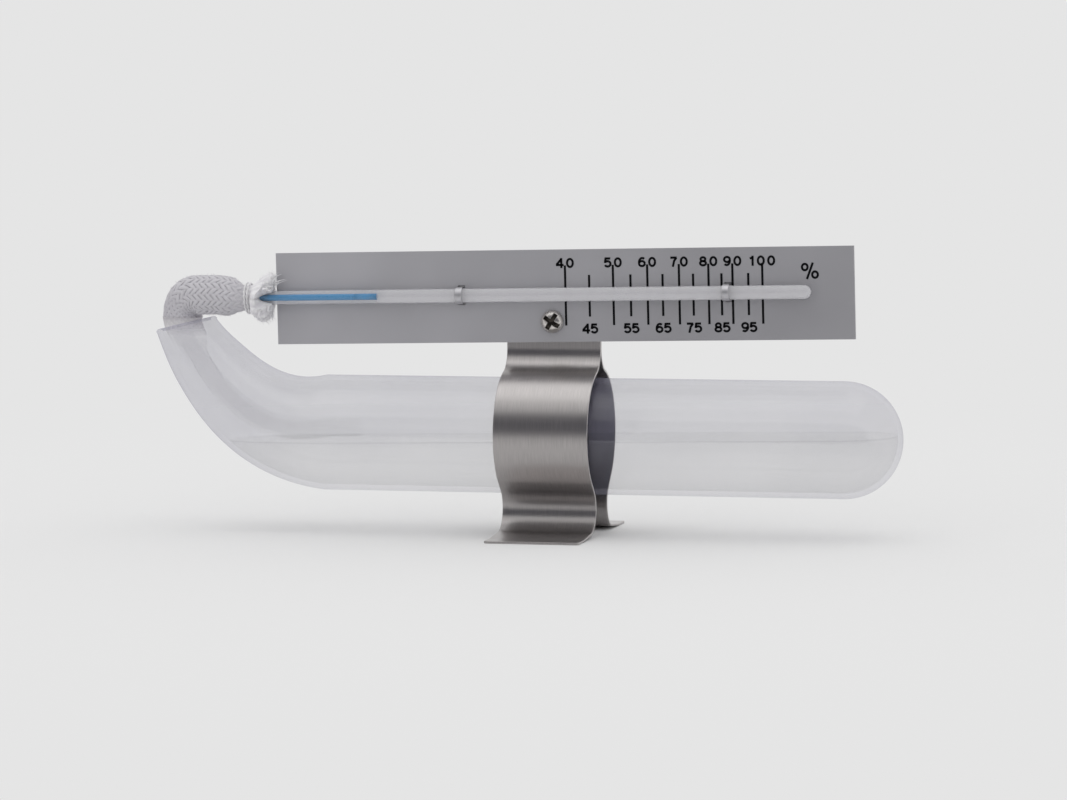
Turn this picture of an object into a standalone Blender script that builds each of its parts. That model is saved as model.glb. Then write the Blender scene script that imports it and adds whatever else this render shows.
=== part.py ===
"""Wet-bulb incubator thermometer: a bent glass water reservoir in a two-jaw spring clip, with a
scale plate on the clip's screw, a spirit thermometer on the plate and a cotton wick over its bulb.

Metres, +Z up, X along the reservoir, -Y towards the reader. The origin is on the surface that the
clip's two lips stand on, under the middle of the whole thing.

Three frames are used, each an empty. `stand` has its origin on the reservoir's axis at the middle
of the clip. `scale_pivot` is at the clip screw, and its X runs along the scale plate. `spirit_end`
is at the top of the spirit column, on the stem's axis.
"""

import math

import bmesh
import bpy
import numpy as np
from mathutils import Matrix, Vector, geometry

# Reservoir: a boiling tube, drawn down and bent up into a neck at one end
TUBE_RADIUS = 0.0125
TUBE_WALL = 0.0012
DOME_CENTRE_X = 0.0631
BEND_START_X = -0.0510
BEND_HANDLE = 0.0152
NECK_HANDLE = 0.0138
NECK_ANGLE = math.radians(61.8)
MOUTH_RADIUS = 0.0067
MOUTH_SLANT = math.radians(15.0)
RIM_BEAD = 0.00015
WATER_LEVEL = -0.0014

# Clip: two equal pressed strips, back to back
STRIP_WIDTH = 0.0206
STRIP_THICKNESS = 0.0005
BULGE_ROOM = 0.0009
SHOULDER_RADIUS = 0.0050
THROAT_HALF_WIDTH = 0.00504
THROAT_RADIUS = 0.00485
FLANK_LENGTH = 0.0030
ARM_RISE = 0.0058
ARM_ABOVE_SCREW = 0.0045
LIP_SLOPE = math.radians(5.0)
LIP_REACH = 0.0225
FOOT_LENGTH = 0.0045
FOOT_BEND_RADIUS = 0.012
ARM_CORNER = 0.0030
LIP_CORNER = 0.0006

# Screw through the plate and both jaws, with a washer and a nut behind
SHANK_RADIUS = 0.00125
HEAD_RADIUS = 0.00243
HEAD_HEIGHT = 0.0016
RECESS_REACH = 0.00185
RECESS_WIDTH = 0.0009
RECESS_DEPTH = 0.0010
RECESS_TURN = math.radians(58.0)
SHANK_END = 0.0009
WASHER_RADIUS = 0.0030
WASHER_THICKNESS = 0.0005
NUT_ACROSS_FLATS = 0.0050
NUT_HEIGHT = 0.0020
SCREW_HOLE_PLAY = 0.0002
STACK_GAP = 0.0001

# Scale plate, measured from the screw
PLATE_LEFT = 0.06144
PLATE_RIGHT = 0.06566
PLATE_HEIGHT = 0.0198
SCREW_ABOVE_EDGE = 0.0044
PLATE_THICKNESS = 0.0008
PLATE_TILT = math.radians(1.11)

# Thermometer on the plate
STEM_RADIUS = 0.00155
STEM_RISE = 0.00585
STEM_GAP = 0.0002
STEM_TIP_X = 0.0569
BORE_RADIUS = 0.0006
BORE_END_MARGIN = 0.0030
BULB_RADIUS = 0.0024
BULB_LENGTH = 0.0085
BULB_CONE = 0.0016
BULB_WALL = 0.0005
BULB_OVERHANG = 0.0181
SPIRIT_GAP = 0.0002
SEAL_RADIUS = 0.0004
SPIRIT_END_X = -0.0384
COLUMN_HEAD_LENGTH = 0.0050
PIECE_GAP = 0.0003

# Ties: bright staples over the stem, folded behind the plate
TIE_XS = (-0.01995, 0.03845)
TIE_WIDTH = 0.0013
TIE_THICKNESS = 0.00025
TIE_GAP = 0.00015
TIE_FOLD_RADIUS = 0.0003
TIE_FOOT = 0.0008
SLOT_PLAY = 0.00015

# Wick: a braided cotton sleeve from the stem over the bulb and down the neck into the water
WICK_RADIUS = 0.00435
WICK_SLACK_RISE = 0.0008
WICK_CORNER_ROOM = 0.0002
WICK_CORNER_BULGE = 0.00025
WICK_LEG_SHIFT = 0.0009
WICK_MOUTH_PLAY = 0.0014
WICK_MOUTH_DEPTH = 0.0034
TAIL_RADIUS = 0.0034
TAIL_LENGTH = 0.0080
TAIL_SAG = 0.0019
TAIL_FLOAT = 0.0012
WICK_GAP = 0.0003
RUFFLE_RADIUS = 0.0056
RUFFLE_LENGTH = 0.0044
RUFFLE_LOBES = 7
RUFFLE_WAVE = 0.0005
RUFFLE_TO_PLATE = 0.0003
GROOVE_LENGTH = 0.0018
GROOVE_WALL = 0.0009
THREAD_RADIUS = 0.00025
THREAD_TURNS = 2
MOUTH_BEHIND_BULB = 0.0029
MOUTH_BELOW_BULB = 0.0062

# Facets
ROUND_SIDES = 32
SMALL_SIDES = 16
WICK_SIDES = 28
TAIL_SIDES = 20
ARC_STEP = math.radians(7.5)
DOME_STEPS = 12
BULB_STEPS = 6
NECK_RINGS = 20
WATER_NECK_RINGS = 15
TAIL_RINGS = 30


# Frames and derived places


def strip_middle():
    """Distance of each arm's middle from the plane between the jaws."""
    return (STRIP_THICKNESS + STACK_GAP) / 2


def bulge_radius():
    """Middle radius of the jaws' round bulge."""
    return TUBE_RADIUS + BULGE_ROOM + STRIP_THICKNESS / 2


def shoulder_centre():
    """Centre of the concave shoulder, from the bulge's centre, as (out, up)."""
    radius = SHOULDER_RADIUS + STRIP_THICKNESS / 2
    out = strip_middle() + radius
    return out, math.sqrt((bulge_radius() + radius) ** 2 - out**2)


def throat_centre():
    """Centre of the concave throat, from the bulge's centre, as (out, up)."""
    radius = THROAT_RADIUS + STRIP_THICKNESS / 2
    out = THROAT_HALF_WIDTH + STRIP_THICKNESS / 2 + radius
    across = math.hypot(bulge_radius() + radius, FLANK_LENGTH)
    return out, -math.sqrt(across**2 - out**2)


def flank_angle():
    """Angle from straight down, at the bulge's centre, where the bulge runs into its flat flank."""
    out, up = throat_centre()
    radius = THROAT_RADIUS + STRIP_THICKNESS / 2
    return math.atan2(out, -up) + math.atan2(FLANK_LENGTH, bulge_radius() + radius)


def bulge_lift():
    """Height of the bulge's centre over the tube's axis, with the tube seated on the flanks.

    A flank is a flat that touches the bulge where flank_angle says, so its distance from the
    tube's axis is the bulge's inner radius less the part of the lift that points towards it.
    """
    inner = bulge_radius() - STRIP_THICKNESS / 2
    return (inner - TUBE_RADIUS - PIECE_GAP) / math.cos(flank_angle())


def screw_height():
    """Height of the screw's axis over the tube's axis."""
    return bulge_lift() + shoulder_centre()[1] + ARM_RISE


def lip_end_angle():
    """Angle round the throat's centre at which the strip leaves it for the sloping lip."""
    return 1.5 * math.pi - LIP_SLOPE


def jaw_middle_line():
    """Middle line of a jaw from arm top to lip end, as (out, up) from the tube's axis."""
    lift = bulge_lift()
    middle = strip_middle()
    shoulder = SHOULDER_RADIUS + STRIP_THICKNESS / 2
    throat = THROAT_RADIUS + STRIP_THICKNESS / 2
    shoulder_out, shoulder_up = shoulder_centre()
    throat_out, throat_up = throat_centre()
    down_angle = math.atan2(shoulder_up, shoulder_out)
    line = [(middle, screw_height() + ARM_ABOVE_SCREW)]
    line += arc((shoulder_out, shoulder_up + lift), shoulder, math.pi, math.pi + down_angle)
    line += arc((0.0, lift), bulge_radius(), down_angle, flank_angle() - math.pi / 2)[1:]
    line += arc((throat_out, throat_up + lift), throat, math.pi / 2 + flank_angle(), lip_end_angle())
    bend = FOOT_BEND_RADIUS - STRIP_THICKNESS / 2
    bend_out = LIP_REACH - FOOT_LENGTH
    leave_out = line[-1][0]
    leave_up = line[-1][1]
    run = bend_out - bend * math.sin(LIP_SLOPE) - leave_out
    bend_up = leave_up - run * math.tan(LIP_SLOPE) + bend * math.cos(LIP_SLOPE)
    line += arc((bend_out, bend_up), bend, 1.5 * math.pi - LIP_SLOPE, 1.5 * math.pi)
    line.append((LIP_REACH, bend_up - bend))
    return line


def standing_height():
    """Height of the tube's axis over the surface that the lips stand on."""
    return STRIP_THICKNESS / 2 - jaw_middle_line()[-1][1]


def plate_back():
    """Y of the scale plate's back, in front of the front arm."""
    return -(STACK_GAP / 2 + STRIP_THICKNESS + STACK_GAP)


def plate_front():
    """Y of the scale plate's printed face."""
    return plate_back() - PLATE_THICKNESS


def stem_y():
    """Y of the thermometer stem's axis."""
    return plate_front() - STEM_GAP - STEM_RADIUS


def bulb_tip_x():
    """Plate-frame X of the bulb's far end."""
    return -(PLATE_LEFT + BULB_OVERHANG)


def plate_to_stand(x, z):
    """Turns plate-frame X and Z into stand-frame X and Z."""
    cos, sin = math.cos(PLATE_TILT), math.sin(PLATE_TILT)
    return x * cos - z * sin, x * sin + z * cos + screw_height()


def stand_to_plate(x, z):
    """Turns stand-frame X and Z into plate-frame X and Z."""
    cos, sin = math.cos(PLATE_TILT), math.sin(PLATE_TILT)
    up = z - screw_height()
    return x * cos + up * sin, up * cos - x * sin


def mouth_centre():
    """Stand-frame X and Z of the middle of the reservoir's mouth, under the bulb's far end."""
    x, z = plate_to_stand(bulb_tip_x(), STEM_RISE)
    return x - MOUTH_BEHIND_BULB, z - MOUTH_BELOW_BULB


# Lines


def arc(centre, radius, start, end, step=ARC_STEP):
    """Points on an arc about centre, from angle start to angle end, both ends included."""
    count = max(2, 1 + math.ceil(abs(end - start) / step))
    angles = np.linspace(start, end, count)
    return [(centre[0] + radius * math.cos(a), centre[1] + radius * math.sin(a)) for a in angles]


def rounded_line(corners, radii):
    """A line through corners whose inner corners are rounded with the given radii."""
    line = [tuple(corners[0])]
    for before, corner, after, radius in zip(corners, corners[1:], corners[2:], radii):
        corner = Vector(corner)
        to_before = (Vector(before) - corner).normalized()
        to_after = (Vector(after) - corner).normalized()
        half = to_before.angle(to_after) / 2
        middle = corner + (to_before + to_after).normalized() * radius / math.sin(half)
        first = corner + to_before * radius / math.tan(half) - middle
        last = corner + to_after * radius / math.tan(half) - middle
        start = math.atan2(first.y, first.x)
        turn = math.atan2(first.cross(last), first.dot(last))
        line += arc(middle, radius, start, start + turn)
    line.append(tuple(corners[-1]))
    return line


def neck_line(count):
    """Centre line of the bent neck from bend to mouth: one cubic curve, as (x, z) points."""
    mouth = Vector(mouth_centre())
    start = Vector((BEND_START_X, 0.0))
    start_handle = start - Vector((BEND_HANDLE, 0.0))
    mouth_handle = mouth - NECK_HANDLE * Vector((-math.cos(NECK_ANGLE), math.sin(NECK_ANGLE)))
    return [tuple(p) for p in geometry.interpolate_bezier(start, start_handle, mouth_handle, mouth, count)]


def line_shares(line):
    """Share of the whole length that each point of a line has behind it."""
    points = np.array(line)
    lengths = np.hypot(*np.diff(points, axis=0).T)
    return np.concatenate([[0.0], np.cumsum(lengths)]) / lengths.sum()


def line_directions(line):
    """Unit direction of a line at each of its points."""
    slopes = np.gradient(np.array(line), axis=0)
    return slopes / np.hypot(*slopes.T)[:, None]


# Solids


def ring(centre, direction, radii, y=0.0):
    """A ring of points about (x, z) centre, square to an (x, z) direction, one radius for each point."""
    radii = np.atleast_1d(radii)
    angles = np.arange(len(radii)) * 2 * math.pi / len(radii)
    across = Vector((-direction[1], direction[0]))
    out = radii * np.cos(angles)
    side = radii * np.sin(angles)
    return np.column_stack([centre[0] + out * across.x, y + side, centre[1] + out * across.y])


def loft(rings, closed=False):
    """A closed skin over rings of points. A ring of one point is a pole, and other end rings are capped."""
    bm = bmesh.new()
    loops = [[bm.verts.new(point) for point in points] for points in rings]
    pairs = list(zip(loops, loops[1:]))
    if closed:
        pairs.append((loops[-1], loops[0]))
    for one, other in pairs:
        count = max(len(one), len(other))
        for i in range(count):
            j = (i + 1) % count
            corners = [one[i % len(one)], one[j % len(one)], other[j % len(other)], other[i % len(other)]]
            bm.faces.new(list(dict.fromkeys(corners)))
    if not closed:
        for loop in (loops[0], loops[-1]):
            if len(loop) > 1:
                bm.faces.new(loop)
    bmesh.ops.recalc_face_normals(bm, faces=bm.faces)
    return bm


def turned(profile, sides, axis_y, axis_z, closed=False):
    """A solid turned about a line along X: profile holds (x, radius) points, radius 0 for a pole."""
    rings = []
    for x, radius in profile:
        count = sides if radius > 0 else 1
        rings.append(ring((x, axis_z), (1.0, 0.0), np.full(count, radius), axis_y))
    return loft(rings, closed)


def turned_about_y(profile, sides, closed=False):
    """A solid turned about the Y axis: profile holds (y, radius) points, radius 0 for a pole."""
    bm = turned(profile, sides, 0.0, 0.0, closed)
    bmesh.ops.rotate(bm, matrix=Matrix.Rotation(math.pi / 2, 3, "Z"), verts=bm.verts)
    return bm


def bent_strip(line, thickness, width, middle_x=0.0):
    """A strip bent along an (y, z) line and extruded along X."""
    points = np.array(line)
    slopes = line_directions(line)
    normals = np.column_stack([-slopes[:, 1], slopes[:, 0]]) * thickness / 2
    outline = np.vstack([points + normals, (points - normals)[::-1]])
    bm = bmesh.new()
    start = middle_x - width / 2
    face = bm.faces.new([bm.verts.new((start, y, z)) for y, z in outline])
    extruded = bmesh.ops.extrude_face_region(bm, geom=[face])
    moved = [item for item in extruded["geom"] if isinstance(item, bmesh.types.BMVert)]
    bmesh.ops.translate(bm, vec=(width, 0.0, 0.0), verts=moved)
    bmesh.ops.recalc_face_normals(bm, faces=bm.faces)
    return bm


def round_end(centre_x, radius, toward, steps):
    """Profile points of a half-round end, from its equator to its pole on the side that toward gives."""
    angles = np.linspace(0.0, math.pi / 2, steps)
    points = [(centre_x + toward * radius * math.sin(a), radius * math.cos(a)) for a in angles]
    points[-1] = (points[-1][0], 0.0)
    return points


# Objects


def material(name, colour, roughness, metallic=0.0, alpha=1.0):
    """A plain material."""
    made = bpy.data.materials.new(name)
    made.use_nodes = True
    shader = made.node_tree.nodes["Principled BSDF"]
    shader.inputs["Base Color"].default_value = (*colour, 1.0)
    shader.inputs["Roughness"].default_value = roughness
    shader.inputs["Metallic"].default_value = metallic
    shader.inputs["Alpha"].default_value = alpha
    return made


def add_empty(name, parent=None, place=(0.0, 0.0, 0.0), turn_y=0.0):
    """An empty that carries pieces."""
    empty = bpy.data.objects.new(name, None)
    bpy.context.scene.collection.objects.link(empty)
    empty.parent = parent
    empty.location = place
    empty.rotation_euler.y = turn_y
    return empty


def add_piece(name, bm, finish, parent, place=(0.0, 0.0, 0.0)):
    """An object from a bmesh, shaded smooth with its sharp edges kept."""
    mesh = bpy.data.meshes.new(name)
    bm.to_mesh(mesh)
    bm.free()
    mesh.materials.append(finish)
    mesh.shade_smooth()
    mesh.set_sharp_from_angle(angle=math.radians(35.0))
    piece = bpy.data.objects.new(name, mesh)
    bpy.context.scene.collection.objects.link(piece)
    piece.parent = parent
    piece.location = place
    return piece


def cut(piece, name, bm, parent, operation="DIFFERENCE", place=(0.0, 0.0, 0.0)):
    """Cuts a piece with a hidden cutter made from a bmesh."""
    mesh = bpy.data.meshes.new(name)
    bm.to_mesh(mesh)
    bm.free()
    cutter = bpy.data.objects.new(name, mesh)
    bpy.context.scene.collection.objects.link(cutter)
    cutter.parent = parent
    cutter.location = place
    cutter.hide_render = True
    cutter.display_type = "WIRE"
    boolean = piece.modifiers.new(name, "BOOLEAN")
    boolean.operation = operation
    boolean.object = cutter


def box(size, centre):
    """A box as a bmesh."""
    bm = bmesh.new()
    bmesh.ops.create_cube(bm, size=1.0, matrix=Matrix.LocRotScale(Vector(centre), None, Vector(size)))
    return bm


def pin(radius, length, place):
    """A cutter pin along Y, centred on place."""
    bm = turned_about_y([(-length / 2, radius), (length / 2, radius)], SMALL_SIDES)
    bmesh.ops.translate(bm, vec=place, verts=bm.verts)
    return bm


# Clip


def rounded_corners(bm, radius, test):
    """Rounds the edges that run through the sheet at the corners for which test holds."""
    edges = [edge for edge in bm.edges if all(test(vert.co) for vert in edge.verts)]
    through = [e for e in edges if e.verts[0].co.x * e.verts[1].co.x > 0]
    bmesh.ops.bevel(bm, geom=through, offset=radius, segments=4, profile=0.5, affect="EDGES")


def add_jaw(name, side, steel, stand):
    """One pressed jaw. side is -1 in front of the tube and +1 behind it."""
    bm = bent_strip([(side * out, up) for out, up in jaw_middle_line()], STRIP_THICKNESS, STRIP_WIDTH)
    top = screw_height() + ARM_ABOVE_SCREW - STRIP_THICKNESS / 10
    rounded_corners(bm, ARM_CORNER, lambda co: co.z > top)
    rounded_corners(bm, LIP_CORNER, lambda co: abs(co.y) > LIP_REACH - STRIP_THICKNESS / 10)
    jaw = add_piece(name, bm, steel, stand)
    hole = pin(SHANK_RADIUS + SCREW_HOLE_PLAY, 8 * STRIP_THICKNESS, (0.0, side * strip_middle(), screw_height()))
    cut(jaw, name + "_hole", hole, stand)


def screw_stack():
    """Y places behind the jaws: washer front, nut front and shank end."""
    washer = STACK_GAP / 2 + STRIP_THICKNESS + STACK_GAP
    nut = washer + WASHER_THICKNESS + STACK_GAP
    return washer, nut, nut + NUT_HEIGHT + SHANK_END


def screw_head_profile(under):
    """Pan head from its pole to its underside: a rounded top that falls to a short upright rim."""
    shares = np.linspace(0.0, 1.0, 8)
    crown = [(under - HEAD_HEIGHT * (1 - 0.75 * share**4), HEAD_RADIUS * share) for share in shares]
    return crown + [(under, HEAD_RADIUS)]


def recess_cutter(top):
    """A tapered cross, cut into the screw's head."""
    half = RECESS_WIDTH / 2
    quarter = [(RECESS_REACH, -half), (RECESS_REACH, half), (half, half)]
    outline = []
    for turn in range(4):
        spin = Matrix.Rotation(turn * math.pi / 2 + RECESS_TURN, 2)
        outline += [spin @ Vector(point) for point in quarter]
    bm = bmesh.new()
    face = bm.faces.new([bm.verts.new((p.x, top - RECESS_DEPTH / 2, p.y)) for p in outline])
    extruded = bmesh.ops.extrude_face_region(bm, geom=[face])
    floor = [item for item in extruded["geom"] if isinstance(item, bmesh.types.BMVert)]
    bmesh.ops.translate(bm, vec=(0.0, 1.5 * RECESS_DEPTH, 0.0), verts=floor)
    bmesh.ops.scale(bm, vec=(0.6, 1.0, 0.6), verts=floor)
    bmesh.ops.recalc_face_normals(bm, faces=bm.faces)
    return bm


def add_screw(steel, stand):
    """Screw, washer and nut on the screw's axis."""
    axis = (0.0, 0.0, screw_height())
    washer_y, nut_y, end_y = screw_stack()
    under = plate_front() - STACK_GAP
    chamfer = SHANK_RADIUS / 4
    profile = screw_head_profile(under)
    profile += [(under, SHANK_RADIUS), (end_y - chamfer, SHANK_RADIUS)]
    profile += [(end_y, SHANK_RADIUS - chamfer), (end_y, 0.0)]
    screw = add_piece("clip_screw", turned_about_y(profile, 2 * SMALL_SIDES), steel, stand, axis)
    cut(screw, "screw_recess", recess_cutter(under - HEAD_HEIGHT), stand, place=axis)
    hole = SHANK_RADIUS + SCREW_HOLE_PLAY
    washer = [(washer_y, hole), (washer_y, WASHER_RADIUS)]
    washer += [(y + WASHER_THICKNESS, radius) for y, radius in reversed(washer)]
    add_piece("flat_washer", turned_about_y(washer, 2 * SMALL_SIDES, closed=True), steel, stand, axis)
    add_nut(nut_y, hole, steel, stand, axis)


def add_nut(front, hole, steel, stand, axis):
    """Hexagon nut with its corners turned off at both ends."""
    corner = NUT_ACROSS_FLATS / 2 / math.cos(math.pi / 6)
    bm = turned_about_y([(front, corner), (front + NUT_HEIGHT, corner)], 6)
    nut = add_piece("clip_nut", bm, steel, stand, axis)
    slope = corner - NUT_ACROSS_FLATS / 2
    ends = [(front, 0.0), (front, NUT_ACROSS_FLATS / 2), (front + slope / 2, corner + slope / 2)]
    ends += [(2 * front + NUT_HEIGHT - y, radius) for y, radius in reversed(ends)]
    cut(nut, "nut_corners", turned_about_y(ends, 2 * SMALL_SIDES), stand, "INTERSECT", axis)
    bore = pin(hole, 2 * NUT_HEIGHT, (0.0, front + NUT_HEIGHT / 2, 0.0))
    cut(nut, "nut_bore", bore, stand, place=axis)


# Scale


def tie_leg():
    """Distance of a tie's legs from the stem's axis."""
    return STEM_RADIUS + TIE_GAP + TIE_THICKNESS / 2


def add_plate(aluminium, pivot):
    """Scale plate with its screw hole and the slots for the ties' legs."""
    length = PLATE_LEFT + PLATE_RIGHT
    middle = (PLATE_RIGHT - PLATE_LEFT) / 2
    height = PLATE_HEIGHT / 2 - SCREW_ABOVE_EDGE
    depth = (plate_front() + plate_back()) / 2
    plate = add_piece(
        "scale_plate", box((length, PLATE_THICKNESS, PLATE_HEIGHT), (middle, depth, height)), aluminium, pivot
    )
    cut(plate, "plate_hole", pin(SHANK_RADIUS + SCREW_HOLE_PLAY, 3 * PLATE_THICKNESS, (0.0, depth, 0.0)), pivot)
    slot = (TIE_WIDTH + 2 * SLOT_PLAY, 3 * PLATE_THICKNESS, TIE_THICKNESS + 2 * SLOT_PLAY)
    for number, x in enumerate(TIE_XS):
        for side in (-1, 1):
            name = f"tie_slot_{number}_{'upper' if side > 0 else 'lower'}"
            cut(plate, name, box(slot, (x, depth, STEM_RISE + side * tie_leg())), pivot)


def tie_line():
    """Middle line of a tie, as (y, z): foot, leg, arch over the stem, leg, foot."""
    leg = tie_leg()
    foot_y = plate_back() + STACK_GAP + TIE_THICKNESS / 2
    fold = TIE_FOLD_RADIUS
    half = [(foot_y, leg - fold - TIE_FOOT)]
    half += arc((foot_y - fold, leg - fold), fold, 0.0, math.pi / 2, 2 * ARC_STEP)
    arch = arc((stem_y(), 0.0), leg, math.pi / 2, 1.5 * math.pi, 2 * ARC_STEP)
    other = [(y, -z) for y, z in reversed(half)]
    return [(y, z + STEM_RISE) for y, z in half + arch + other]


def add_ties(steel, pivot):
    """Both ties."""
    for name, x in zip(("left_tie", "right_tie"), TIE_XS):
        add_piece(name, bent_strip(tie_line(), TIE_THICKNESS, TIE_WIDTH, x), steel, pivot)


def bulb_profile(extra):
    """Outer profile of the bulb's cone, barrel and round end, grown by extra, from the stem outwards."""
    radius = BULB_RADIUS + extra
    centre = bulb_tip_x() + BULB_RADIUS
    shoulder = bulb_tip_x() + BULB_LENGTH
    cone = [(shoulder + BULB_CONE, STEM_RADIUS + extra), (shoulder, radius)]
    return cone + round_end(centre, radius, -1, BULB_STEPS)


def add_glass(glass, pivot):
    """Glass stem and bulb as one skin: outside, through the bulb's seal, and back along the bore."""
    outer = round_end(STEM_TIP_X - STEM_RADIUS, STEM_RADIUS, 1, BULB_STEPS)[::-1]
    seal_x = bulb_tip_x() + BULB_RADIUS - math.sqrt(BULB_RADIUS**2 - SEAL_RADIUS**2)
    outer += [point for point in bulb_profile(0.0) if point[1] > 1.5 * SEAL_RADIUS]
    inner_radius = BULB_RADIUS - BULB_WALL
    centre = bulb_tip_x() + BULB_RADIUS
    shoulder = bulb_tip_x() + BULB_LENGTH
    inner = [p for p in round_end(centre, inner_radius, -1, BULB_STEPS)[::-1] if p[1] > 1.5 * SEAL_RADIUS]
    seal = [(seal_x, SEAL_RADIUS), (seal_x + BULB_WALL, SEAL_RADIUS)]
    bore = [(shoulder, inner_radius), (shoulder + BULB_CONE, BORE_RADIUS)]
    bore_end = STEM_TIP_X - BORE_END_MARGIN
    bore += [(bore_end, BORE_RADIUS), (bore_end + BORE_RADIUS / 2, 0.0)]
    profile = outer + seal + inner + bore
    add_piece("thermometer_glass", turned(profile, SMALL_SIDES, stem_y(), STEM_RISE), glass, pivot)


def add_spirit(spirit, pivot, spirit_end):
    """Spirit in the bulb, the column that stretches and its moving end."""
    radius = BULB_RADIUS - BULB_WALL - SPIRIT_GAP
    centre = bulb_tip_x() + BULB_RADIUS
    shoulder = bulb_tip_x() + BULB_LENGTH
    column = BORE_RADIUS - SPIRIT_GAP
    bulb = round_end(centre, radius, -1, BULB_STEPS)[::-1]
    bulb += [(shoulder, radius), (shoulder + BULB_CONE, column), (shoulder + BULB_CONE, 0.0)]
    add_piece("bulb_spirit", turned(bulb, SMALL_SIDES, stem_y(), STEM_RISE), spirit, pivot)
    start = shoulder + BULB_CONE + PIECE_GAP
    end = SPIRIT_END_X - COLUMN_HEAD_LENGTH - PIECE_GAP
    thread = [(start, 0.0), (start, column), (end, column), (end, 0.0)]
    add_piece("spirit_column", turned(thread, SMALL_SIDES, stem_y(), STEM_RISE), spirit, pivot)
    head = [(-COLUMN_HEAD_LENGTH, 0.0), (-COLUMN_HEAD_LENGTH, column)]
    head += [(0.0, column), (-column / 3, column / 2), (-column / 2, 0.0)]
    add_piece("column_head", turned(head, SMALL_SIDES, 0.0, 0.0), spirit, spirit_end)


# Wick


def groove_radius():
    """Outer radius of the sleeve under the binding thread."""
    return STEM_RADIUS + WICK_GAP + GROOVE_WALL


def ruffle_start_x():
    """Plate-frame X of the ruffle's open end, just clear of the plate."""
    return -(PLATE_LEFT + RUFFLE_TO_PLATE)


def groove_middle_x():
    """Plate-frame X of the binding's middle."""
    return ruffle_start_x() - RUFFLE_LENGTH - GROOVE_LENGTH / 2


def wick_in_mouth():
    """Wick radius where it passes the reservoir's mouth."""
    return MOUTH_RADIUS - TUBE_WALL - WICK_MOUTH_PLAY


def leg_top():
    """Plate-frame X and Z where the wick's leg hangs from its turn over the bulb's end."""
    mouth_x, mouth_z = mouth_centre()
    leg_x, _ = stand_to_plate(mouth_x - WICK_LEG_SHIFT, mouth_z)
    return leg_x, STEM_RISE + WICK_SLACK_RISE - WICK_RADIUS - 2 * WICK_CORNER_ROOM


def sleeve_line():
    """Centre line of the sleeve in the plate frame: along the stem, over the bulb and down to the leg."""
    leg_x, leg_z = leg_top()
    shoulder = bulb_tip_x() + BULB_LENGTH
    corners = [
        (ruffle_start_x(), STEM_RISE),
        (groove_middle_x() - GROOVE_LENGTH, STEM_RISE),
        (shoulder - 2 * BULB_CONE, STEM_RISE + WICK_SLACK_RISE),
        (leg_x, STEM_RISE + WICK_SLACK_RISE),
        (leg_x, leg_z),
    ]
    return rounded_line(corners, [WICK_RADIUS + WICK_CORNER_ROOM] * 3)


def sleeve_radii(stations):
    """Sleeve radius at each length from the ruffle's open end: ruffle, bound groove, then full size."""
    groove_end = RUFFLE_LENGTH + GROOVE_LENGTH
    swell = smooth((stations - groove_end) / (1.5 * GROOVE_LENGTH))
    full = groove_radius() + (WICK_RADIUS - groove_radius()) * swell
    return np.where(stations < RUFFLE_LENGTH, ruffle_profile(stations), full)


def sleeve_bulge(stations):
    """Outward shift of the sleeve's middle, highest half way round its turn over the bulb's end."""
    turn = (WICK_RADIUS + WICK_CORNER_ROOM) * math.pi / 2
    share = np.clip(1 - (stations[-1] - stations) / turn, 0.0, 1.0)
    return WICK_CORNER_BULGE * np.sin(math.pi * share) ** 2


def ruffle_profile(along):
    """Ruffle radius: round like a bead, open end small, largest near its middle."""
    share = np.clip(along / RUFFLE_LENGTH, 0.0, 1.0)
    return groove_radius() + (RUFFLE_RADIUS - groove_radius()) * np.sqrt(np.sin(math.pi * share).clip(0.0))


def smooth(share):
    """Smooth step from 0 to 1."""
    share = np.clip(share, 0.0, 1.0)
    return share * share * (3 - 2 * share)


def resample(line, stations):
    """Points of a line at given lengths from its start."""
    points = np.array(line)
    lengths = np.concatenate([[0.0], np.cumsum(np.hypot(*np.diff(points, axis=0).T))])
    return np.column_stack([np.interp(stations, lengths, points[:, axis]) for axis in (0, 1)])


def line_length(line):
    """Length of a line."""
    return float(np.hypot(*np.diff(np.array(line), axis=0).T).sum())


def sleeve_stations(length):
    """Lengths along the sleeve at which it has a ring: close in the ruffle, wider further on."""
    ruffle = np.linspace(0.0, RUFFLE_LENGTH, 9)
    groove = RUFFLE_LENGTH + np.array([0.3, 0.7, 1.0]) * GROOVE_LENGTH
    rest = np.linspace(groove[-1] + GROOVE_LENGTH / 3, length, 28)
    return np.concatenate([ruffle, groove, rest])


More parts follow.
